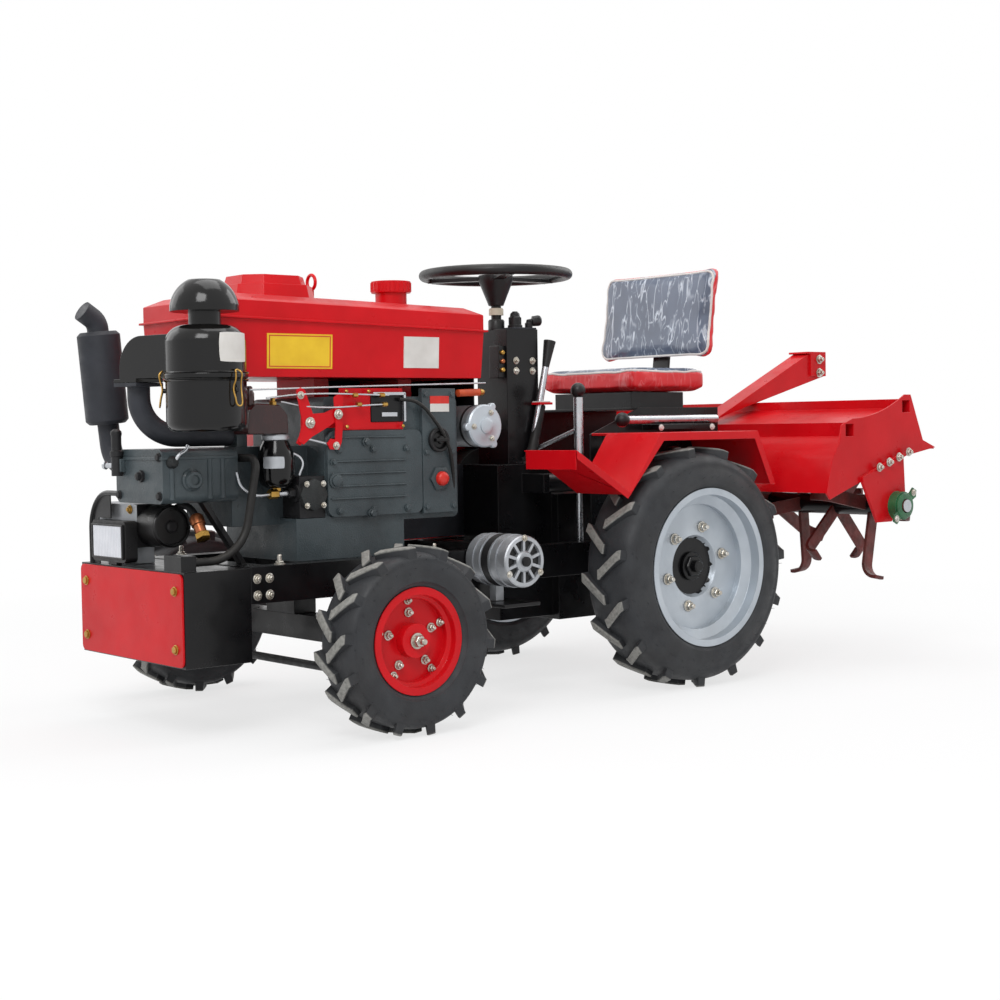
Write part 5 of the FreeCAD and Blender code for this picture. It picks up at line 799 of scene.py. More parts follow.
cheekHoles = [(y, 0.5415 + (y - 0.78) * 0.30) for y in (0.752, 0.794, 0.836, 0.878)]
bolts = {
    "plateBolts": {"radius": 0.0085, "head": 0.007, "along": ahead, "paint": "brass",
                   "at": [(x, -1.157, z) for x in (-0.202, 0.202) for z in (0.199, 0.322)]},
    "frameBolts": {"radius": 0.0085, "head": 0.007, "stud": 0.005, "along": toLeft,
                   "at": [(0.234, y, z) for y in (-0.975, -0.944) for z in (0.302, 0.338)]},
    "railBolts": {"radius": 0.010, "head": 0.008, "stud": 0.014, "along": upright,
                  "at": [(x, y, 0.364) for x in (0.215, -0.215) for y in (-0.905, -0.478)]},
    "postBolts": {"radius": 0.0075, "head": 0.006, "stud": 0.004, "along": toLeft,
                  "at": [(0.060, y, z) for y in (-0.085, -0.030) for z in (0.798, 0.824)]},
    "cheekBolts": {"radius": 0.0095, "head": 0.008, "stud": 0.006, "along": toLeft, "body": "tiller",
                   "at": [(0.555, *hole) for hole in cheekHoles]},
    "rightCheekBolts": {"radius": 0.0095, "head": 0.008, "stud": 0.006, "along": (-1, 0, 0),
                        "body": "tiller",
                        "at": [(-0.555, *hole) for hole in cheekHoles]},
    "boomBolts": {"radius": 0.011, "head": 0.009, "stud": 0.008, "along": toLeft, "body": "tiller",
                  "at": [(0.038, 1.136, z) for z in (0.803, 0.843)]},
    "restBolts": {"radius": 0.0065, "head": 0.006, "along": toLeft, "paint": "whitePlate",
                  "at": [(0.262, y, 0.6475) for y in (0.232, 0.423)]},
    "coverBolts": {"radius": 0.0065, "head": 0.0055, "along": toLeft, "paint": "engineGreen",
                   "at": [(0.204, y, z) for y in (-0.735, -0.640, -0.545) for z in (0.472, 0.610)]},
    "timingBolts": {"radius": 0.0065, "head": 0.0055, "along": toLeft, "paint": "engineGreen",
                    "at": [(0.204, y, z) for y in (-0.488, -0.410) for z in (0.472, 0.600, 0.735)]},
    "headBolts": {"radius": 0.008, "head": 0.007, "along": ahead, "paint": "darkSteel",
                  "at": [(x, -1.150, z) for x in (-0.045, 0.135) for z in (0.520, 0.603)]},
}
# a wheel's rows of bolts: how far from the axle, how many, and each one's radius and head
hubs = {
    "front": {"axle": (-0.739, 0.204), "disc": 0.463,
              "rows": [(0.060, 5, 0.0085, 0.009), (0.086, 5, 0.0075, 0.008)], "start": 0.3, "nutAt": 0.487,
              "nutRadius": 0.01395, "nutPaint": "boltSteel"},
    "rear": {"axle": (0.186, 0.300), "disc": 0.420, "rows": [(0.101, 6, 0.0115, 0.013)], "start": 0.25,
             "nutAt": 0.407, "nutRadius": 0.0288, "nutPaint": "blackGloss", "blackMiddle": 0.074},
}
axleNut = {"head": 0.016, "stud": 0.014}


def makeBolt(radius, head, stud=0.0):
    # washer, six-sided head with a turned chamfer, and a stud end where it carries a nut
    washer = lathe("washer", [(0, radius * 1.25), (radius * 0.22, radius * 1.25),
                              (radius * 0.28, radius * 1.15)], 20)
    hexagon = lathe("hexagon", [(radius * 0.2, radius), (head * 0.8, radius), (head, radius * 0.86)], 6)
    eased(hexagon, radius * 0.08, 2, 20)
    parts = [washer, hexagon]
    if stud:
        parts.append(lathe("stud", [(head * 0.9, radius * 0.52), (head + stud * 0.8, radius * 0.52),
                                    (head + stud, radius * 0.4)], 14))
    return joined("bolt", parts)


def setBolt(name, place, along, size, paint="boltSteel", body="chassis"):
    # one bolt by itself, its size given as radius, head and stud
    bolt = moved(makeBolt(*size), aimed(place, along))
    bolt.name = name
    return finished(bolt, paint, body)


def fromAxle(degrees, reach=1.0):
    # a step away from an axle that runs across the machine
    return Vector((0, math.cos(math.radians(degrees)), math.sin(math.radians(degrees)))) * reach


def nearAxle(place, axle, reach):
    return math.hypot(place.y - axle[0], place.z - axle[1]) < reach


for name, look in bolts.items():
    bolt = makeBolt(look["radius"], look["head"], look.get("stud", 0))
    row = [copied(bolt, aimed(place, look["along"])) for place in look["at"]]
    bpy.data.objects.remove(bolt)
    finished(joined(name, row), look.get("paint", "boltSteel"), look.get("body", "chassis"))

for end, look in hubs.items():
    ring = []
    for reach, count, radius, head in look["rows"]:
        bolt = makeBolt(radius, head, head * 0.7)
        for number in range(count):
            step = fromAxle(360 * (number + look["start"]) / count, reach)
            ring.append(copied(bolt, aimed(Vector((look["disc"], *look["axle"])) + step, toLeft)))
        bpy.data.objects.remove(bolt)
    ring = joined(end + "WheelBoltsLeft", ring)
    nut = moved(makeBolt(look["nutRadius"], **axleNut), aimed((look["nutAt"], *look["axle"]), toLeft))
    nut.name = end + "AxleNutLeft"
    for left, paint in ((nut, look["nutPaint"]), (ring, "boltSteel")):
        right = mirrored(left, left.name.replace("Left", "Right"))
        finished(left, paint, end + "_wheel_left")
        finished(right, paint, end + "_wheel_right")
for side in ("left", "right"):
    repaint(dressed["rear_rim_" + side], "blackGloss",
            lambda place: nearAxle(place, hubs["rear"]["axle"], hubs["rear"]["blackMiddle"]))
print("bolts set")


# rods, pipes, plates and turned fittings; the dictionaries below name their sizes and places

def pipeRun(name, points, radius, paint, slot="bright_steel", bent=True):
    # a rod or pipe through its points, bent smoothly or straight between them, its ends capped
    line = bpy.data.curves.new(name, "CURVE")
    line.dimensions = "3D"
    line.bevel_depth = radius
    line.bevel_resolution = 3
    line.resolution_u = 8
    line.use_fill_caps = True
    spline = line.splines.new("BEZIER")
    spline.bezier_points.add(len(points) - 1)
    for point, place in zip(spline.bezier_points, points):
        point.co = place
        point.handle_left_type = point.handle_right_type = "AUTO" if bent else "VECTOR"
    only(linked(name, line))
    bpy.ops.object.convert(target="MESH")
    piece = bpy.context.object
    closedUp(piece)
    smoothed(piece, 50)
    return finished(piece, paint, "chassis")


def plate(name, low, high, paint, slot="red_paint", edge=0.0015):
    # a thin plate or block between two corners, its edges eased
    piece = block(name, low, high)
    eased(piece, edge, 3, 32)
    return finished(piece, paint, "chassis")


def cutPlate(name, outline, low, high, paint="redPaint", body="chassis", edge=0.0008):
    # an upright plate of any outline, from low to high across the machine
    bpy.ops.object.select_all(action="DESELECT")
    bpy.ops.mesh.primitive_circle_add(vertices=len(outline), fill_type="NGON")
    piece = bpy.context.object
    piece.name = name
    for vertex, place in zip(piece.data.vertices, outline):
        vertex.co = (low, *place)
    editing(piece)
    bpy.ops.mesh.select_all(action="SELECT")
    bpy.ops.mesh.extrude_region_move(TRANSFORM_OT_translate={"value": (high - low, 0, 0)})
    bpy.ops.object.mode_set(mode="OBJECT")
    closedUp(piece)
    eased(piece, edge, 2, 32)
    return finished(piece, paint, body)


def turned(name, profile, place, along, paint, body="chassis", slot="bright_steel", steps=32, ring=False):
    piece = moved(lathe(name, profile, steps, ring), aimed(place, along))
    smoothed(piece, 38)
    return finished(piece, paint, body)


def bentSheet(name, axis, reach, turn, half, low, high, paint, slot):
    # a thin sheet bent to a round body, its corners cut
    bpy.ops.object.select_all(action="DESELECT")
    bpy.ops.mesh.primitive_grid_add(x_subdivisions=14, y_subdivisions=6, size=2)
    sheet = bpy.context.object
    sheet.name = name
    for vertex in sheet.data.vertices:
        across, up = vertex.co.x, vertex.co.y
        across *= 1 - 0.10 * max(0, abs(up) - 0.5)
        around = math.radians(turn + half * across)
        height = (low + high) / 2 + (high - low) / 2 * up * (1 - 0.06 * abs(across) ** 4)
        vertex.co = (axis[0] + reach * math.cos(around), axis[1] + reach * math.sin(around), height)
    applied(sheet, "SOLIDIFY", thickness=0.0006)
    closedUp(sheet)
    smoothed(sheet, 40)
    return finished(sheet, paint, "chassis")


def fitOut(maker, pieces):
    return {name: maker(name, **look) for name, look in pieces.items()}


# air cleaner: wire clips on lugs, two seam beads and a blank label
cleaner = {
    "axis": (0.250, -1.098), "radius": 0.084, "clipTop": 0.776, "clipTurns": (-122, 14, 130),
    "clipWire": 0.0018, "clipSpread": 1.35, "lugDrop": 0.034,
    "lug": [(-0.002, 0.005), (0.006, 0.005), (0.0075, 0.0035)],
    "beads": (0.7625, 0.7785), "bead": [(-0.002, 0.0868), (0.0, 0.0892), (0.002, 0.0868)],
    "label": {"reach": 0.0846, "turn": 16, "half": 27, "low": 0.799, "high": 0.860},
    # across, away and up from the clip's top
    "clip": [(-0.006, 0.011, 0.000), (-0.006, 0.010, -0.014), (-0.008, 0.006, -0.030),
             (-0.007, 0.010, -0.052), (-0.004, 0.012, -0.066), (0.004, 0.012, -0.066),
             (0.007, 0.010, -0.052), (0.008, 0.006, -0.030), (0.006, 0.010, -0.014), (0.006, 0.011, 0.000),
             (0.003, 0.006, 0.006), (-0.003, 0.006, 0.006)],
}
for number, degrees in enumerate(cleaner["clipTurns"]):
    out = Vector((math.cos(math.radians(degrees)), math.sin(math.radians(degrees)), 0))
    side = Vector((-out.y, out.x, 0)) * cleaner["clipSpread"]
    foot = Vector((*cleaner["axis"], cleaner["clipTop"])) + out * cleaner["radius"]
    points = [foot + side * across + out * away + Vector((0, 0, up)) for across, away,
              up in cleaner["clip"]]
    pipeRun("cleanerClip%d" % number, points + points[:1], cleaner["clipWire"], "brass", slot="black_paint")
    turned("clipLug%d" % number, cleaner["lug"], foot - Vector((0, 0, cleaner["lugDrop"])), out,
           "blackGloss", slot="black_paint", steps=16)
for number, height in enumerate(cleaner["beads"]):
    turned("cleanerBead%d" % number, cleaner["bead"], (*cleaner["axis"], height), upright, "blackMirror",
           slot="black_paint", steps=72, ring=True)
bentSheet("cleanerLabel", cleaner["axis"], **cleaner["label"], paint="whitePlate", slot="black_paint")
print("air cleaner fitted out")

# engine side: ribs and plugs on the cover, oil filler, drain and rating plates
cover = {
    "side": 0.204, "ribs": (0.500, 0.528, 0.556, 0.584,
                            0.638), "ribEnds": (-0.757, -0.549), "ribRadius": 0.0022,
    "plugs": {"plugTop": (-0.660, 0.627, 0.0085), "plugMiddle": (-0.745, 0.541, 0.013),
              "plugSmall": (-0.752, 0.583, 0.006), "plugLow": (-0.647, 0.464, 0.009)},
}
for number, height in enumerate(cover["ribs"]):
    pipeRun("coverRib%d" % number, [(cover["side"], y, height) for y in cover["ribEnds"]],
            cover["ribRadius"], "engineGreen", slot="engine_green", bent=False)
for name, (y, z, radius) in cover["plugs"].items():
    steps = 6 if radius < 0.01 else 28
    profile = [(-0.001, radius * 1.3), (0.002, radius * 1.3), (0.003, radius), (0.009, radius),
               (0.0105, radius * 0.8)]
    turned(name, profile, (cover["side"], y, z), toLeft, "engineGreen", slot="engine_green", steps=steps)
fitOut(turned, {
    "fillerRim": {"profile": [(0, 0.029), (0.008, 0.029), (0.010, 0.027), (0.010, 0.022), (0.006, 0.021),
                              (0, 0.021)],
                  "place": (0.204, -0.453, 0.628), "along": toLeft, "paint": "darkSteel",
                  "slot": "engine_green", "ring": True},
    "fillerCap": {"profile": [(0.0, 0.021), (0.005, 0.021), (0.007, 0.019), (0.009, 0.010), (0.015, 0.009),
                              (0.016, 0.007)],
                  "place": (0.204, -0.453, 0.628), "along": toLeft, "paint": "blackGloss",
                  "slot": "engine_green"},
    "drainFlange": {"profile": [(0, 0.030), (0.005, 0.030), (0.007, 0.026), (0.007, 0.018)],
                    "place": (0.204, -0.449, 0.537), "along": toLeft, "paint": "engineGreen",
                    "slot": "engine_green", "steps": 6},
    "drainCap": {"profile": [(0.005, 0.017), (0.014, 0.0165), (0.019, 0.013), (0.021, 0.007)],
                 "place": (0.204, -0.449, 0.537), "along": toLeft, "paint": "capRed",
                 "slot": "engine_green"},
})
fitOut(plate, {
    "fillerGrip": {"low": (0.210, -0.471, 0.624), "high": (0.223, -0.435, 0.632), "paint": "blackGloss",
                   "slot": "engine_green"},
    "ratingPlateRed": {"low": (0.204, -0.475, 0.713), "high": (0.2056, -0.419, 0.731), "paint": "capRed",
                       "slot": "engine_green", "edge": 0.0004},
    "ratingPlateWhite": {"low": (0.204, -0.475, 0.694), "high": (0.2056, -0.419, 0.713),
                         "paint": "whitePlate", "slot": "engine_green", "edge": 0.0004},
})

print("engine cover fitted out")

# linkage: bell crank and fork, their pivots, rods, clamps, window and stop cable
linkage = {
    "face": 0.206, "crankTop": 0.2095, "forkTop": 0.2125,
    "pivots": {"bellPivot": (0.2095, -0.815, 0.672, 0.010), "bellRear": (0.2125, -0.741, 0.690, 0.009),
               "bellTop": (0.2095, -0.838, 0.733, 0.007), "forkLow": (0.2125, -0.748, 0.620, 0.007)},
    "crank": [(-0.849, 0.744), (-0.838, 0.751), (-0.826, 0.745), (-0.806, 0.692), (-0.775, 0.694),
              (-0.750, 0.704), (-0.733, 0.702), (-0.729, 0.690), (-0.738, 0.677), (-0.776, 0.657),
              (-0.809, 0.641), (-0.832, 0.624), (-0.846, 0.631), (-0.834, 0.672)],
    "fork": [(-0.752, 0.728), (-0.738, 0.738), (-0.726, 0.728), (-0.728, 0.668), (-0.732, 0.628),
             (-0.740, 0.611), (-0.764, 0.612), (-0.772, 0.626), (-0.762, 0.636), (-0.750, 0.634),
             (-0.748, 0.668)],
    "clamps": ((-0.700, 0.733), (-0.690, 0.712), (-0.625, 0.733), (-0.618, 0.712)),
    "screws": ((-0.713, 0.662), (-0.652, 0.742), (-0.713, 0.742), (-0.556, 0.662)),
}
for name, (x, y, z, radius) in linkage["pivots"].items():
    setBolt(name, (x, y, z), toLeft, (radius, radius * 0.8, radius * 0.7))
cutPlate("bellCrank", linkage["crank"], linkage["face"], linkage["crankTop"])
cutPlate("forkPlate", linkage["fork"], linkage["crankTop"], linkage["forkTop"])
fitOut(pipeRun, {
    "bellRod": {"points": [(0.206, -0.820, 0.636), (0.206, -0.758, 0.622)], "radius": 0.003,
                "paint": "brightSteel", "bent": False},
    "throttleRod": {"points": [(0.205, -0.964, 0.745), (0.210, -0.721, 0.752), (0.205, -0.307, 0.762)],
                    "radius": 0.0020, "paint": "brightSteel", "bent": False},
    "stopRod": {"points": [(0.200, -0.921, 0.727), (0.208, -0.838, 0.735), (0.213, -0.600, 0.733)],
                "radius": 0.0020, "paint": "brightSteel"},
    "governorRod": {"points": [(0.196, -0.880, 0.719), (0.208, -0.820, 0.708), (0.213, -0.610, 0.712)],
                    "radius": 0.0020, "paint": "brightSteel"},
    "stopCable": {"points": [(0.207, -0.566, 0.724), (0.214, -0.520, 0.716), (0.217, -0.470, 0.672),
                             (0.215, -0.432, 0.618), (0.206, -0.412, 0.560), (0.195, -0.404, 0.470)],
                  "radius": 0.0042, "paint": "blackRubber", "slot": "black_rubber"},
    "solenoidTube": {"points": [(0.196, -0.385, 0.738), (0.196, -0.320, 0.740)], "radius": 0.009,
                     "paint": "wireOrange", "slot": "red_paint", "bent": False},
})
for number, place in enumerate(linkage["clamps"]):
    turned("rodClamp%d" % number, [(0, 0.0055), (0.012, 0.0055)], (0.2125, *place), rearward, "brass",
           steps=6)
for number, place in enumerate(linkage["screws"]):
    turned("plateScrew%d" % number, [(0, 0.0045), (0.002, 0.0042), (0.0035, 0.0025)],
           (linkage["face"], *place), toLeft, "brass", steps=12)
turned("solenoidEnd", [(0, 0.009), (0.010, 0.008), (0.014, 0.005)], (0.196, -0.319, 0.740), rearward,
       "brass")
fitOut(plate, {
    "controlWindow": {"low": (0.192, -0.640, 0.672), "high": (0.199, -0.550, 0.733), "paint": "blackGloss",
                      "slot": "black_plastic"},
    "windowTop": {"low": (0.199, -0.640, 0.733), "high": (0.209, -0.549, 0.740), "paint": "brightSteel",
                  "slot": "bright_steel", "edge": 0.001},
    "windowRear": {"low": (0.199, -0.554, 0.672), "high": (0.209, -0.548, 0.738), "paint": "brightSteel",
                   "slot": "bright_steel", "edge": 0.001},
    "windowGauge": {"low": (0.199, -0.612, 0.684), "high": (0.202, -0.568, 0.694), "paint": "brightSteel",
                    "slot": "bright_steel", "edge": 0.001},
})

print("linkage fitted out")

# injection pump: pipes, the nuts and barrels in line, and a flange with four bolts
pump = {
    "line": (0.174, 0.516),
    "barrels": {"pumpNutFront": {"y": -0.902, "radius": 0.011, "length": 0.022, "paint": "brass",
                                 "steps": 6},
                "pumpNeck": {"y": -0.880, "radius": 0.007, "length": 0.026, "paint": "brightSteel",
                             "steps": 28},
                "pumpNut": {"y": -0.854, "radius": 0.012, "length": 0.016, "paint": "darkSteel",
                            "steps": 6},
                "pumpBarrel": {"y": -0.838, "radius": 0.020, "length": 0.020, "paint": "darkSteel",
                               "steps": 28}},
    "bolts": [(0.203, y, z) for y in (-0.822, -0.778) for z in (0.536, 0.488)],
    "boltSize": (0.0055, 0.005, 0.003),
}
fitOut(pipeRun, {
    "fuelPipe": {"points": [(0.168, -0.864, 0.662), (0.176, -0.860, 0.618), (0.186, -0.822, 0.588),
                            (0.182, -0.828, 0.556)], "radius": 0.0032, "paint": "brightSteel"},
    "injectionPipe": {"points": [(0.150, -0.970, 0.566), (0.158, -0.962, 0.534), (0.168, -0.936, 0.516),
                                 (0.174, -0.898, 0.515)], "radius": 0.0034, "paint": "brightSteel"},
})
for name, look in pump["barrels"].items():
    radius, length = look["radius"], look["length"]
    turned(name, [(0, radius), (length * 0.9, radius), (length, radius * 0.85)],
           (pump["line"][0], look["y"], pump["line"][1]), rearward, look["paint"], steps=look["steps"])
turned("pumpFlange", [(0, 0.036), (0.010, 0.036), (0.013, 0.030)], (0.190, -0.800, 0.512), toLeft,
       "castIron", slot="cast_iron", steps=8)
for number, place in enumerate(pump["bolts"]):
    setBolt("pumpBolt%d" % number, place, toLeft, pump["boltSize"])
print("injection pump fitted out")

# lamp: a fluted glass in a frame of four bars
lamp = {"middle": (-0.090, -1.1590, 0.416), "half": (0.066, 0.035), "flutes": 9, "fluteDepth": 0.0014,
        "thickness": 0.003}
bpy.ops.object.select_all(action="DESELECT")
bpy.ops.mesh.primitive_grid_add(x_subdivisions=72, y_subdivisions=2, size=2)
lens = bpy.context.object
lens.name = "lampGlass"
for vertex in lens.data.vertices:
    across, up = vertex.co.x, vertex.co.y
    flute = lamp["fluteDepth"] * abs(math.sin(across * lamp["flutes"] * math.pi))
    step = Vector((lamp["half"][0] * across, -flute, lamp["half"][1] * up))
    vertex.co = Vector(lamp["middle"]) + step
applied(lens, "SOLIDIFY", thickness=lamp["thickness"], offset=0)
closedUp(lens)
smoothed(lens, 40)
finished(lens, "lampLens", "chassis")
lampRims = {"lampRimTop": ((-0.162, -1.1625, 0.450), (-0.018, -1.156, 0.4545)),
            "lampRimLow": ((-0.162, -1.1625, 0.3775), (-0.018, -1.156, 0.382)),
            "lampRimLeft": ((-0.163, -1.1625, 0.379), (-0.157, -1.156, 0.453)),
            "lampRimRight": ((-0.023, -1.1625, 0.379), (-0.017, -1.156, 0.453))}
for name, (low, high) in lampRims.items():
    plate(name, low, high, "blackPlastic", slot="black_plastic", edge=0.0014)

# hydraulic pump: black end with ring and boss, brass bolts, pressure pipe and its union
hydraulics = {
    "blackFrom": -0.0225, "end": (0.0545, -1.0795, 0.450), "pipeLean": (0.55, 0, -0.83),
    "bolts": [(x, -1.122, z) for z in (0.486, 0.414) for x in (-0.052, -0.206)],
    "boltSize": (0.008, 0.006, 0.003),
}
repaint(dressed["hydraulic_pump"], "blackPlastic", lambda place: place.x > hydraulics["blackFrom"])
for number, place in enumerate(hydraulics["bolts"]):
    setBolt("pumpBodyBolt%d" % number, place, ahead, hydraulics["boltSize"], "brass")
pipeRun("pressurePipe", [(0.030, -1.062, 0.484), (0.070, -1.058, 0.495), (0.100, -1.054, 0.486),
                         (0.116, -1.052, 0.468)], 0.008, "darkSteel", slot="dark_steel")
fitOut(turned, {
    "pumpRing": {"profile": [(0, 0.0448), (0.006, 0.0448), (0.008, 0.043), (0.008, 0.039), (0.001, 0.038)],
                 "place": hydraulics["end"], "along": toLeft, "paint": "blackGloss",
                 "slot": "black_plastic", "steps": 48, "ring": True},
    "pumpBoss": {"profile": [(0, 0.014), (0.006, 0.0135), (0.009, 0.010)], "place": hydraulics["end"],
                 "along": toLeft, "paint": "darkSteel", "slot": "dark_steel"},
    "pressureUnion": {"profile": [(0, 0.012), (0.006, 0.016), (0.024, 0.016), (0.026, 0.013),
                                  (0.044, 0.0125), (0.048, 0.009)],
                      "place": (0.112, -1.052, 0.474), "along": hydraulics["pipeLean"], "paint": "copper",
                      "steps": 24},
    "pressureNut": {"profile": [(0, 0.017), (0.012, 0.017), (0.014, 0.014)],
                    "place": (0.138, -1.052, 0.435), "along": hydraulics["pipeLean"], "paint": "brass",
                    "steps": 6},
})

print("lamp and hydraulic pump fitted out")

# fuel filter: bell-shaped bowl with drain, collar and blank label, under a smoked box
bowl = (0.165, -0.877)
filterParts = fitOut(turned, {
    "filterBowl": {"profile": [(0.529, 0.016), (0.5305, 0.026), (0.538, 0.035), (0.550, 0.0395),
                               (0.570, 0.0415), (0.592, 0.0412), (0.608, 0.0385), (0.622, 0.033),
                               (0.634, 0.027), (0.646, 0.025), (0.6475, 0.022)],
                   "place": (*bowl, 0), "along": upright, "paint": "blackMirror", "slot": "black_paint",
                   "steps": 56},
    "filterDrain": {"profile": [(0.516, 0.006), (0.520, 0.010), (0.530, 0.010)], "place": (*bowl, 0),
                    "along": upright, "paint": "brass", "steps": 6},
    "filterCollar": {"profile": [(0.634, 0.0275), (0.636, 0.031), (0.645, 0.031), (0.648, 0.028)],
                     "place": (*bowl, 0), "along": upright, "paint": "aluminium", "slot": "aluminium",
                     "steps": 40},
    "filterStub": {"profile": [(0.712, 0.011), (0.738, 0.011), (0.744, 0.008), (0.752, 0.007),
                               (0.754, 0.004)],
                   "place": (0.168, -0.944, 0), "along": upright, "paint": "smokedRed",
                   "slot": "black_paint", "steps": 24},
    "filterUnion": {"profile": [(0, 0.009), (0.008, 0.009), (0.010, 0.006), (0.018, 0.006), (0.019, 0.004)],
                    "place": (0.180, -0.892, 0.711), "along": upright, "paint": "brass", "steps": 6},
})
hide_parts("fuel_filter")
bentSheet("filterLabel", bowl, 0.0420, -40, 34, 0.573, 0.599, "aluminium", "aluminium")
cutPlate("filterBox", [(-0.964, 0.648), (-0.960, 0.700), (-0.945, 0.716), (-0.880, 0.712), (-0.862, 0.690),
                       (-0.860, 0.648)], 0.128, 0.196, "smokedRed", edge=0.006)
plate("filterArm", (0.096, -0.930, 0.650), (0.132, -0.900, 0.672), "blackMatt", slot="black_paint",
      edge=0.002)

print("fuel filter fitted out")

# cylinder head: seam, ribs and boss, decompression lever, stud and plug
head = {"ribs": (-1.128, -1.036, -1.004), "ribSide": 0.148, "ribHeights": (0.512, 0.598),
        "ribRadius": 0.0065}
for number, y in enumerate(head["ribs"]):
    pipeRun("headRib%d" % number, [(head["ribSide"], y, z) for z in head["ribHeights"]], head["ribRadius"],
            "engineGreen", slot="engine_green", bent=False)
pipeRun("decompressionLever", [(0.162, -1.128, 0.592), (0.166, -1.118, 0.608), (0.168, -1.104, 0.618),
                               (0.168, -1.098, 0.628)], 0.0038, "brightSteel")
plate("headSeam", (-0.063, -1.153, 0.597), (0.153, -0.966, 0.604), "engineGreen", slot="engine_green")
plate("studLug", (-0.044, -1.163, 0.570), (-0.016, -1.149, 0.600), "engineGreen", slot="engine_green",
      edge=0.003)
fitOut(turned, {
    "headBoss": {"profile": [(0, 0.025), (0.004, 0.0245), (0.007, 0.021), (0.013, 0.020), (0.016, 0.017),
                             (0.016, 0.011), (0.011, 0.010), (0.0105, 0.004)],
                 "place": (0.149, -1.080, 0.553), "along": toLeft, "paint": "engineGreen",
                 "slot": "engine_green", "steps": 40},
    "leverBoss": {"profile": [(0, 0.014), (0.008, 0.013), (0.011, 0.010), (0.016, 0.009), (0.018, 0.006)],
                  "place": (0.149, -1.128, 0.592), "along": toLeft, "paint": "castIron",
                  "slot": "cast_iron"},
    "headStud": {"profile": [(0.562, 0.012), (0.604, 0.012), (0.606, 0.0145), (0.616, 0.0145),
                             (0.618, 0.011), (0.648, 0.011), (0.654, 0.0125), (0.660, 0.0115),
                             (0.665, 0.006)],
                 "place": (-0.030, -1.163, 0), "along": upright, "paint": "darkSteel", "slot": "dark_steel",
                 "steps": 28},
    "studTap": {"profile": [(0, 0.006), (0.020, 0.006), (0.022, 0.009), (0.028, 0.008)],
                "place": (-0.036, -1.166, 0.585), "along": (-0.9, -0.44, 0), "paint": "brightSteel",
                "steps": 20},
    "headPlug": {"profile": [(0, 0.013), (0.006, 0.013), (0.007, 0.009), (0.014, 0.009), (0.016, 0.006)],
                 "place": (0.060, -1.150, 0.562), "along": ahead, "paint": "darkSteel",
                 "slot": "dark_steel", "steps": 6},
})
print("cylinder head fitted out")

# starter: end plate with a black band, three lugs and their screws
starter = {"axle": (-0.315, 0.659), "turns": (62, 182, 302), "screws": {"x": 0.2145, "reach": 0.036},
           "lugs": {"x": 0.202, "reach": 0.0515}, "screwSize": (0.0058, 0.0045, 0.002)}
fitOut(turned, {
    "starterPlate": {"profile": [(-0.004, 0.0515), (0.006, 0.0515), (0.009, 0.048), (0.0095, 0.024),
                                 (0.012, 0.019), (0.015, 0.0185), (0.017, 0.014), (0.0175, 0.006)],
                     "place": (0.205, *starter["axle"]), "along": toLeft, "paint": "silverPaint",
                     "slot": "aluminium", "steps": 56},
    "starterBand": {"profile": [(0, 0.0498), (0, 0.0512), (0.007, 0.0512), (0.007, 0.0498)],
                    "place": (0.176, *starter["axle"]), "along": toLeft, "paint": "blackPlastic",
                    "slot": "black_plastic", "steps": 56, "ring": True},
})
for number, degrees in enumerate(starter["turns"]):
    foot = Vector((starter["screws"]["x"], *starter["axle"])) + fromAxle(degrees, starter["screws"]["reach"])
    setBolt("starterScrew%d" % number, foot, toLeft, starter["screwSize"])
    foot = Vector((starter["lugs"]["x"], *starter["axle"])) + fromAxle(degrees, starter["lugs"]["reach"])
    turned("starterLug%d" % number, [(0, 0.0095), (0.010, 0.0095), (0.012, 0.007)], foot, toLeft,
           "silverPaint", slot="aluminium", steps=20)

# alternator: band and fins round the body, a black disc behind ten spokes as painted shade in the recess,
# rim, hub and cap
alternator = {
    "axle": (-0.342, 0.343), "face": 0.372, "fins": (0.262, 0.286, 0.322, 0.346), "spokes": 10,
    "spoke": ((-0.0005, -0.00375, 0.022), (0.0085, 0.00375, 0.054)),
    "boltTurns": (90, 210, 330), "boltReach": 0.0545, "boltRise": 0.010, "boltSize": (0.0065, 0.005, 0.003),
}
face = Vector((alternator["face"], *alternator["axle"]))
fitOut(turned, {
    "alternatorBand": {"profile": [(0, 0.0605), (0, 0.0622), (0.022, 0.0622), (0.022, 0.0605)],
                       "place": (0.296, *alternator["axle"]), "along": toLeft, "paint": "darkSteel",
                       "slot": "dark_steel", "steps": 56, "ring": True},
    # painted shade: a flat black disc standing for the shaded inside behind the spokes
    "alternatorWell": {"profile": [(-0.001, 0.054), (0.001, 0.054)], "place": face, "along": toLeft,
                       "paint": "blackPlastic", "slot": "black_plastic", "steps": 48},
    "alternatorRim": {"profile": [(-0.002, 0.0608), (0.007, 0.0606), (0.010, 0.058), (0.010, 0.050),
                                  (-0.002, 0.049)],
                      "place": face, "along": toLeft, "paint": "aluminium", "slot": "aluminium",
                      "steps": 56, "ring": True},
    "alternatorHub": {"profile": [(-0.001, 0.026), (0.009, 0.025), (0.013, 0.021), (0.013, 0.014)],
                      "place": face, "along": toLeft, "paint": "aluminium", "slot": "aluminium",
                      "steps": 40},
    "alternatorCap": {"profile": [(0.012, 0.012), (0.019, 0.0115), (0.021, 0.008), (0.022, 0.003)],
                      "place": face, "along": toLeft, "paint": "blackGloss", "slot": "black_plastic"},
})
for number, x in enumerate(alternator["fins"]):
    turned("alternatorFin%d" % number, [(0, 0.0605), (0, 0.0628), (0.003, 0.0628), (0.003, 0.0605)],
           (x, *alternator["axle"]), toLeft, "aluminium", slot="aluminium", steps=56, ring=True)
spokes = []
for number in range(alternator["spokes"]):
    turn = Matrix.Rotation(2 * math.pi * number / alternator["spokes"], 4, "X")
    spokes.append(moved(block("spoke", *alternator["spoke"]), Matrix.Translation(face) @ turn))
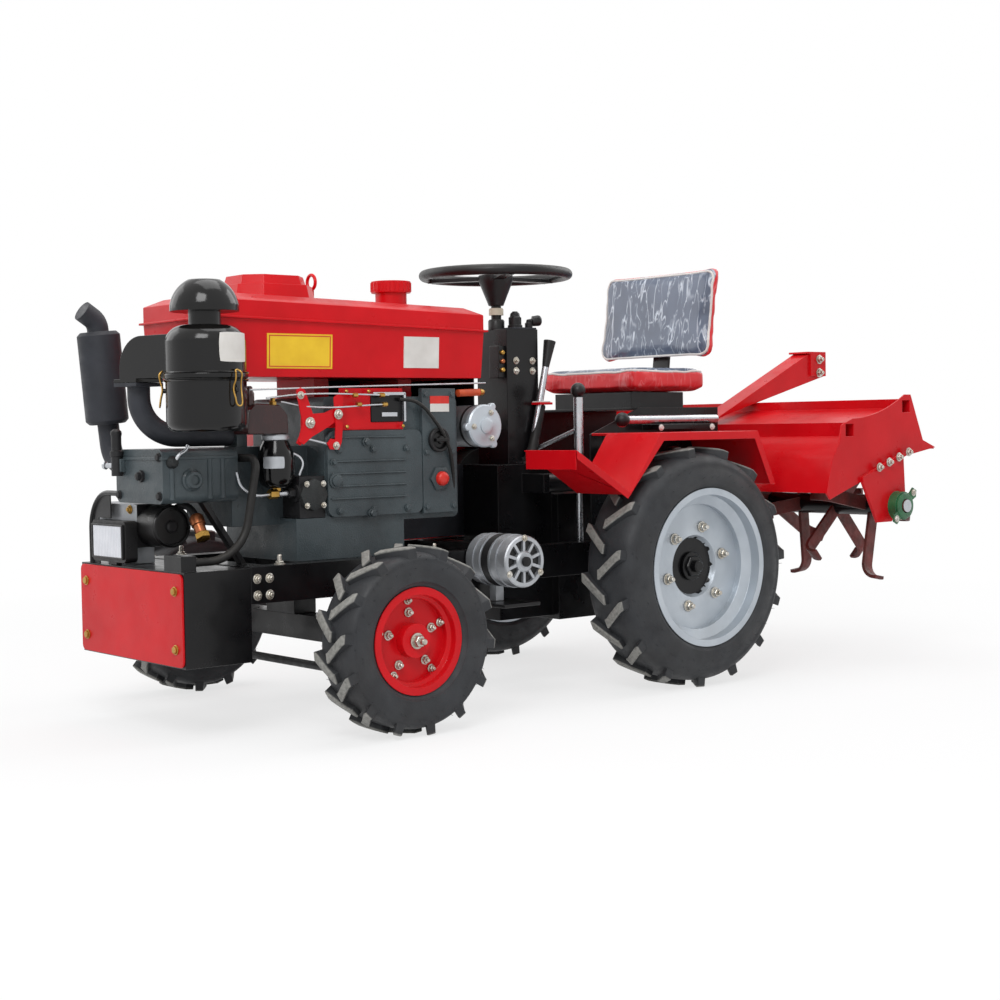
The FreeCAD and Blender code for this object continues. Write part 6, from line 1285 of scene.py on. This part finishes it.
grille = joined("alternatorSpokes", spokes)
eased(grille, 0.0012, 2, 32)
finished(grille, "aluminium", "chassis")
for number, degrees in enumerate(alternator["boltTurns"]):
    foot = face + Vector((alternator["boltRise"], 0, 0)) + fromAxle(degrees, alternator["boltReach"])
    setBolt("alternatorBolt%d" % number, foot, toLeft, alternator["boltSize"])

print("starter and alternator fitted out")

# tank: blank plates lying on its sloping flank, a printed border, and grip ribs round the filler cap
tankPlates = {
    "tankPlateYellow": {"near": -0.898, "far": -0.729, "low": 0.793, "high": 0.870, "paint": "yellowPlate"},
    "borderTop": {"near": -0.893, "far": -0.734, "low": 0.8644, "high": 0.8664, "paint": "capRed",
                  "lift": 0.0007},
    "borderLow": {"near": -0.893, "far": -0.734, "low": 0.7966, "high": 0.7986, "paint": "capRed",
                  "lift": 0.0007},
    "borderFront": {"near": -0.893, "far": -0.891, "low": 0.7966, "high": 0.8664, "paint": "capRed",
                    "lift": 0.0007},
    "borderRear": {"near": -0.736, "far": -0.734, "low": 0.7966, "high": 0.8664, "paint": "capRed",
                   "lift": 0.0007},
    "tankPlateWhite": {"near": -0.530, "far": -0.427, "low": 0.797, "high": 0.870, "paint": "whitePlate"},
}
fillerCap = {"axis": (0.030, -0.454), "ribs": 28, "reach": 0.0475, "height": 0.997, "radius": 0.0022,
             "depth": 0.022}


def flankPlate(name, near, far, low, high, paint, lift=0.0):
    # each corner set where a line from outside first meets the tank
    bpy.ops.object.select_all(action="DESELECT")
    bpy.ops.mesh.primitive_cube_add(size=2)
    sheet = bpy.context.object
    sheet.name = name
    for vertex in sheet.data.vertices:
        y = near if vertex.co.y < 0 else far
        z = low if vertex.co.z < 0 else high
        flank = dressed["fuel_tank"].ray_cast(Vector((1, y, z)), Vector((-1, 0, 0)))[1]
        vertex.co = (flank.x + lift + (-0.0006 if vertex.co.x < 0 else 0.0012), y, z)
    eased(sheet, 0.0003, 2, 32)
    return finished(sheet, paint, "chassis")


fitOut(flankPlate, tankPlates)
capRibs = []
for number in range(fillerCap["ribs"]):
    bpy.ops.object.select_all(action="DESELECT")
    bpy.ops.mesh.primitive_cylinder_add(vertices=10, radius=fillerCap["radius"], depth=fillerCap["depth"],
                                        location=(fillerCap["reach"], 0, fillerCap["height"]))
    turn = Matrix.Rotation(2 * math.pi * number / fillerCap["ribs"], 4, "Z")
    capRibs.append(moved(placed("capRib"), Matrix.Translation((*fillerCap["axis"], 0)) @ turn))
grip = joined("capRibs", capRibs)
eased(grip, 0.0006, 2, 40)
finished(grip, "redPaint", "chassis")

print("tank plates and cap ribs set")

# steering post: collar and sleeve on the column, key switch, knobs and fuses; black grips on the levers
fitOut(turned, {
    "columnCollar": {"profile": [(0, 0.0132), (0, 0.0188), (0.015, 0.0188), (0.018, 0.0165),
                                 (0.018, 0.0132)],
                     "place": (0, -0.098, 0.942), "along": upright, "paint": "creamPlastic",
                     "slot": "black_plastic", "steps": 36, "ring": True},
    "columnSleeve": {"profile": [(0, 0.0132), (0, 0.021), (0.022, 0.021), (0.026, 0.018), (0.026, 0.0132)],
                     "place": (0, -0.098, 0.905), "along": upright, "paint": "blackPlastic",
                     "slot": "black_plastic", "steps": 36, "ring": True},
    "keySwitch": {"profile": [(0, 0.019), (0.010, 0.019), (0.012, 0.0165), (0.030, 0.0165), (0.033, 0.013),
                              (0.040, 0.012), (0.046, 0.006)],
                  "place": (0.034, -0.064, 0.905), "along": upright, "paint": "blackPlastic",
                  "slot": "black_plastic", "steps": 28},
    "knobStem": {"profile": [(0, 0.010), (0.012, 0.010), (0.014, 0.007), (0.020, 0.006)],
                 "place": (0.046, -0.028, 0.909), "along": upright, "paint": "darkSteel",
                 "slot": "dark_steel", "steps": 20},
    "postKnob": {"profile": [(-0.012, 0.006), (0.000, 0.007), (0.002, 0.013), (0.018, 0.014),
                             (0.023, 0.012), (0.026, 0.007)],
                 "place": (0.048, -0.020, 0.926), "along": (0.55, 0.83, 0.1), "paint": "blackPlastic",
                 "slot": "black_plastic", "steps": 28},
    "leverBoot": {"profile": [(-0.006, 0.016), (0.010, 0.017), (0.030, 0.0135), (0.060, 0.0125),
                              (0.142, 0.0118), (0.146, 0.0105)],
                  "place": (0.074, -0.0535, 0.570), "along": (0, 0.049, 0.172), "paint": "blackRubber",
                  "slot": "black_rubber", "steps": 28},
})
fitOut(plate, {
    "switchFoot": {"low": (0.008, -0.088, 0.905), "high": (0.058, -0.012, 0.9095), "paint": "blackMatt",
                   "slot": "black_paint", "edge": 0.001},
    "fuseBlock": {"low": (0.014, -0.136, 0.780), "high": (0.052, -0.114, 0.862), "paint": "blackPlastic",
                  "slot": "black_plastic", "edge": 0.002},
    "leverGateRed": {"low": (0.058, -0.034, 0.711), "high": (0.092, 0.010, 0.717), "paint": "redPaint",
                     "edge": 0.001},
    "leverGateWhite": {"low": (0.060, -0.032, 0.717), "high": (0.090, 0.004, 0.720), "paint": "whitePlate",
                       "edge": 0.0008},
})
fuses = {"fuseCap0": (0.800, "brass"), "fuseCap1": (0.822, "copper"), "fuseCap2": (0.844, "brass")}
for name, (z, paint) in fuses.items():
    turned(name, [(0, 0.006), (0.008, 0.006), (0.010, 0.004)], (0.051, -0.126, z), toLeft, paint, steps=16)


def onGrip(place):
    # the gear lever's grip, the ball of the upright lever and the ball of the lift lever
    gear = place.z > 0.804 and place.x < 0.10
    tallBall = 0.7275 < place.z < 0.765 and place.x > 0.15
    liftBall = 0.084 < place.y < 0.123 and place.x > 0.225 and 0.652 < place.z < 0.692
    return gear or tallBall or liftBall


repaint(dressed["control_levers"], "blackPlastic", onGrip)

print("steering post and levers fitted out")

# tiller: green bearings with two ears each; black rotor tube with bright ends
bearing = {
    "shaft": (0.834, 0.428), "ring": [(0, 0.0345), (0.0045, 0.0345), (0.0075, 0.030), (0.0075, 0.019),
                                      (0, 0.0185)],
    "ringAt": 0.573, "ears": ([(0.846, 0.455), (0.862, 0.440), (0.882, 0.450), (0.884, 0.468),
                               (0.868, 0.476)],
                              [(0.822, 0.401), (0.806, 0.416), (0.786, 0.406), (0.784, 0.388),
                               (0.800, 0.380)]),
    "earFrom": 0.5725, "earTo": 0.5765, "bolts": ((0.870, 0.462), (0.797, 0.395)),
    "boltSize": (0.0075, 0.0045, 0.002),
    "seatReach": 0.046, "seatFrom": 0.5487, "tubeReach": 0.0295, "tubeEnd": 0.522,
}
for side, mirror in (("Left", 1), ("Right", -1)):
    turned("bearingRing" + side, bearing["ring"], (bearing["ringAt"] * mirror, *bearing["shaft"]),
           (mirror, 0, 0), "bearingGreen", "tiller", "red_paint", steps=44, ring=True)
    for number, (ear, place) in enumerate(zip(bearing["ears"], bearing["bolts"])):
        low, high = sorted((bearing["earFrom"] * mirror, bearing["earTo"] * mirror))
        cutPlate("bearingEar%s%d" % (side, number), ear, low, high, "bearingGreen", "tiller")
        setBolt("bearingBolt%s%d" % (side, number), (bearing["earTo"] * mirror, *place), (mirror, 0, 0),
                bearing["boltSize"], body="tiller")
repaint(dressed["tiller_housing"], "bearingGreen", lambda place: abs(place.x) > bearing["seatFrom"]
        and nearAxle(place, bearing["shaft"], bearing["seatReach"]))
repaint(dressed["rotor"], "blackGloss", lambda place: abs(place.x) < bearing["tubeEnd"]
        and nearAxle(place, bearing["shaft"], bearing["tubeReach"]))
repaint(dressed["rotor"], "brightSteel", lambda place: abs(place.x) > bearing["tubeEnd"])

print("bearings and rotor painted")

# black sheets as painted shadow under the tank and inside the belt guard, hiding the lit parts and
# background behind them
fitOut(plate, {
    "tankSkirt": {"low": (-0.104, -0.620, 0.700), "high": (-0.100, -0.297, 0.7745), "paint": "blackGloss",
                  "slot": "black_paint", "edge": 0.001},
    "tankRearSkirt": {"low": (-0.150, -0.300, 0.700), "high": (0.150, -0.296, 0.7745),
                      "paint": "blackGloss", "slot": "black_paint", "edge": 0.001},
    "guardLiner": {"low": (-0.1095, -0.384, 0.374), "high": (-0.1065, 0.040, 0.560), "paint": "blackMatt",
                   "slot": "black_paint", "edge": 0.001},
})
print("skirts and liner set")
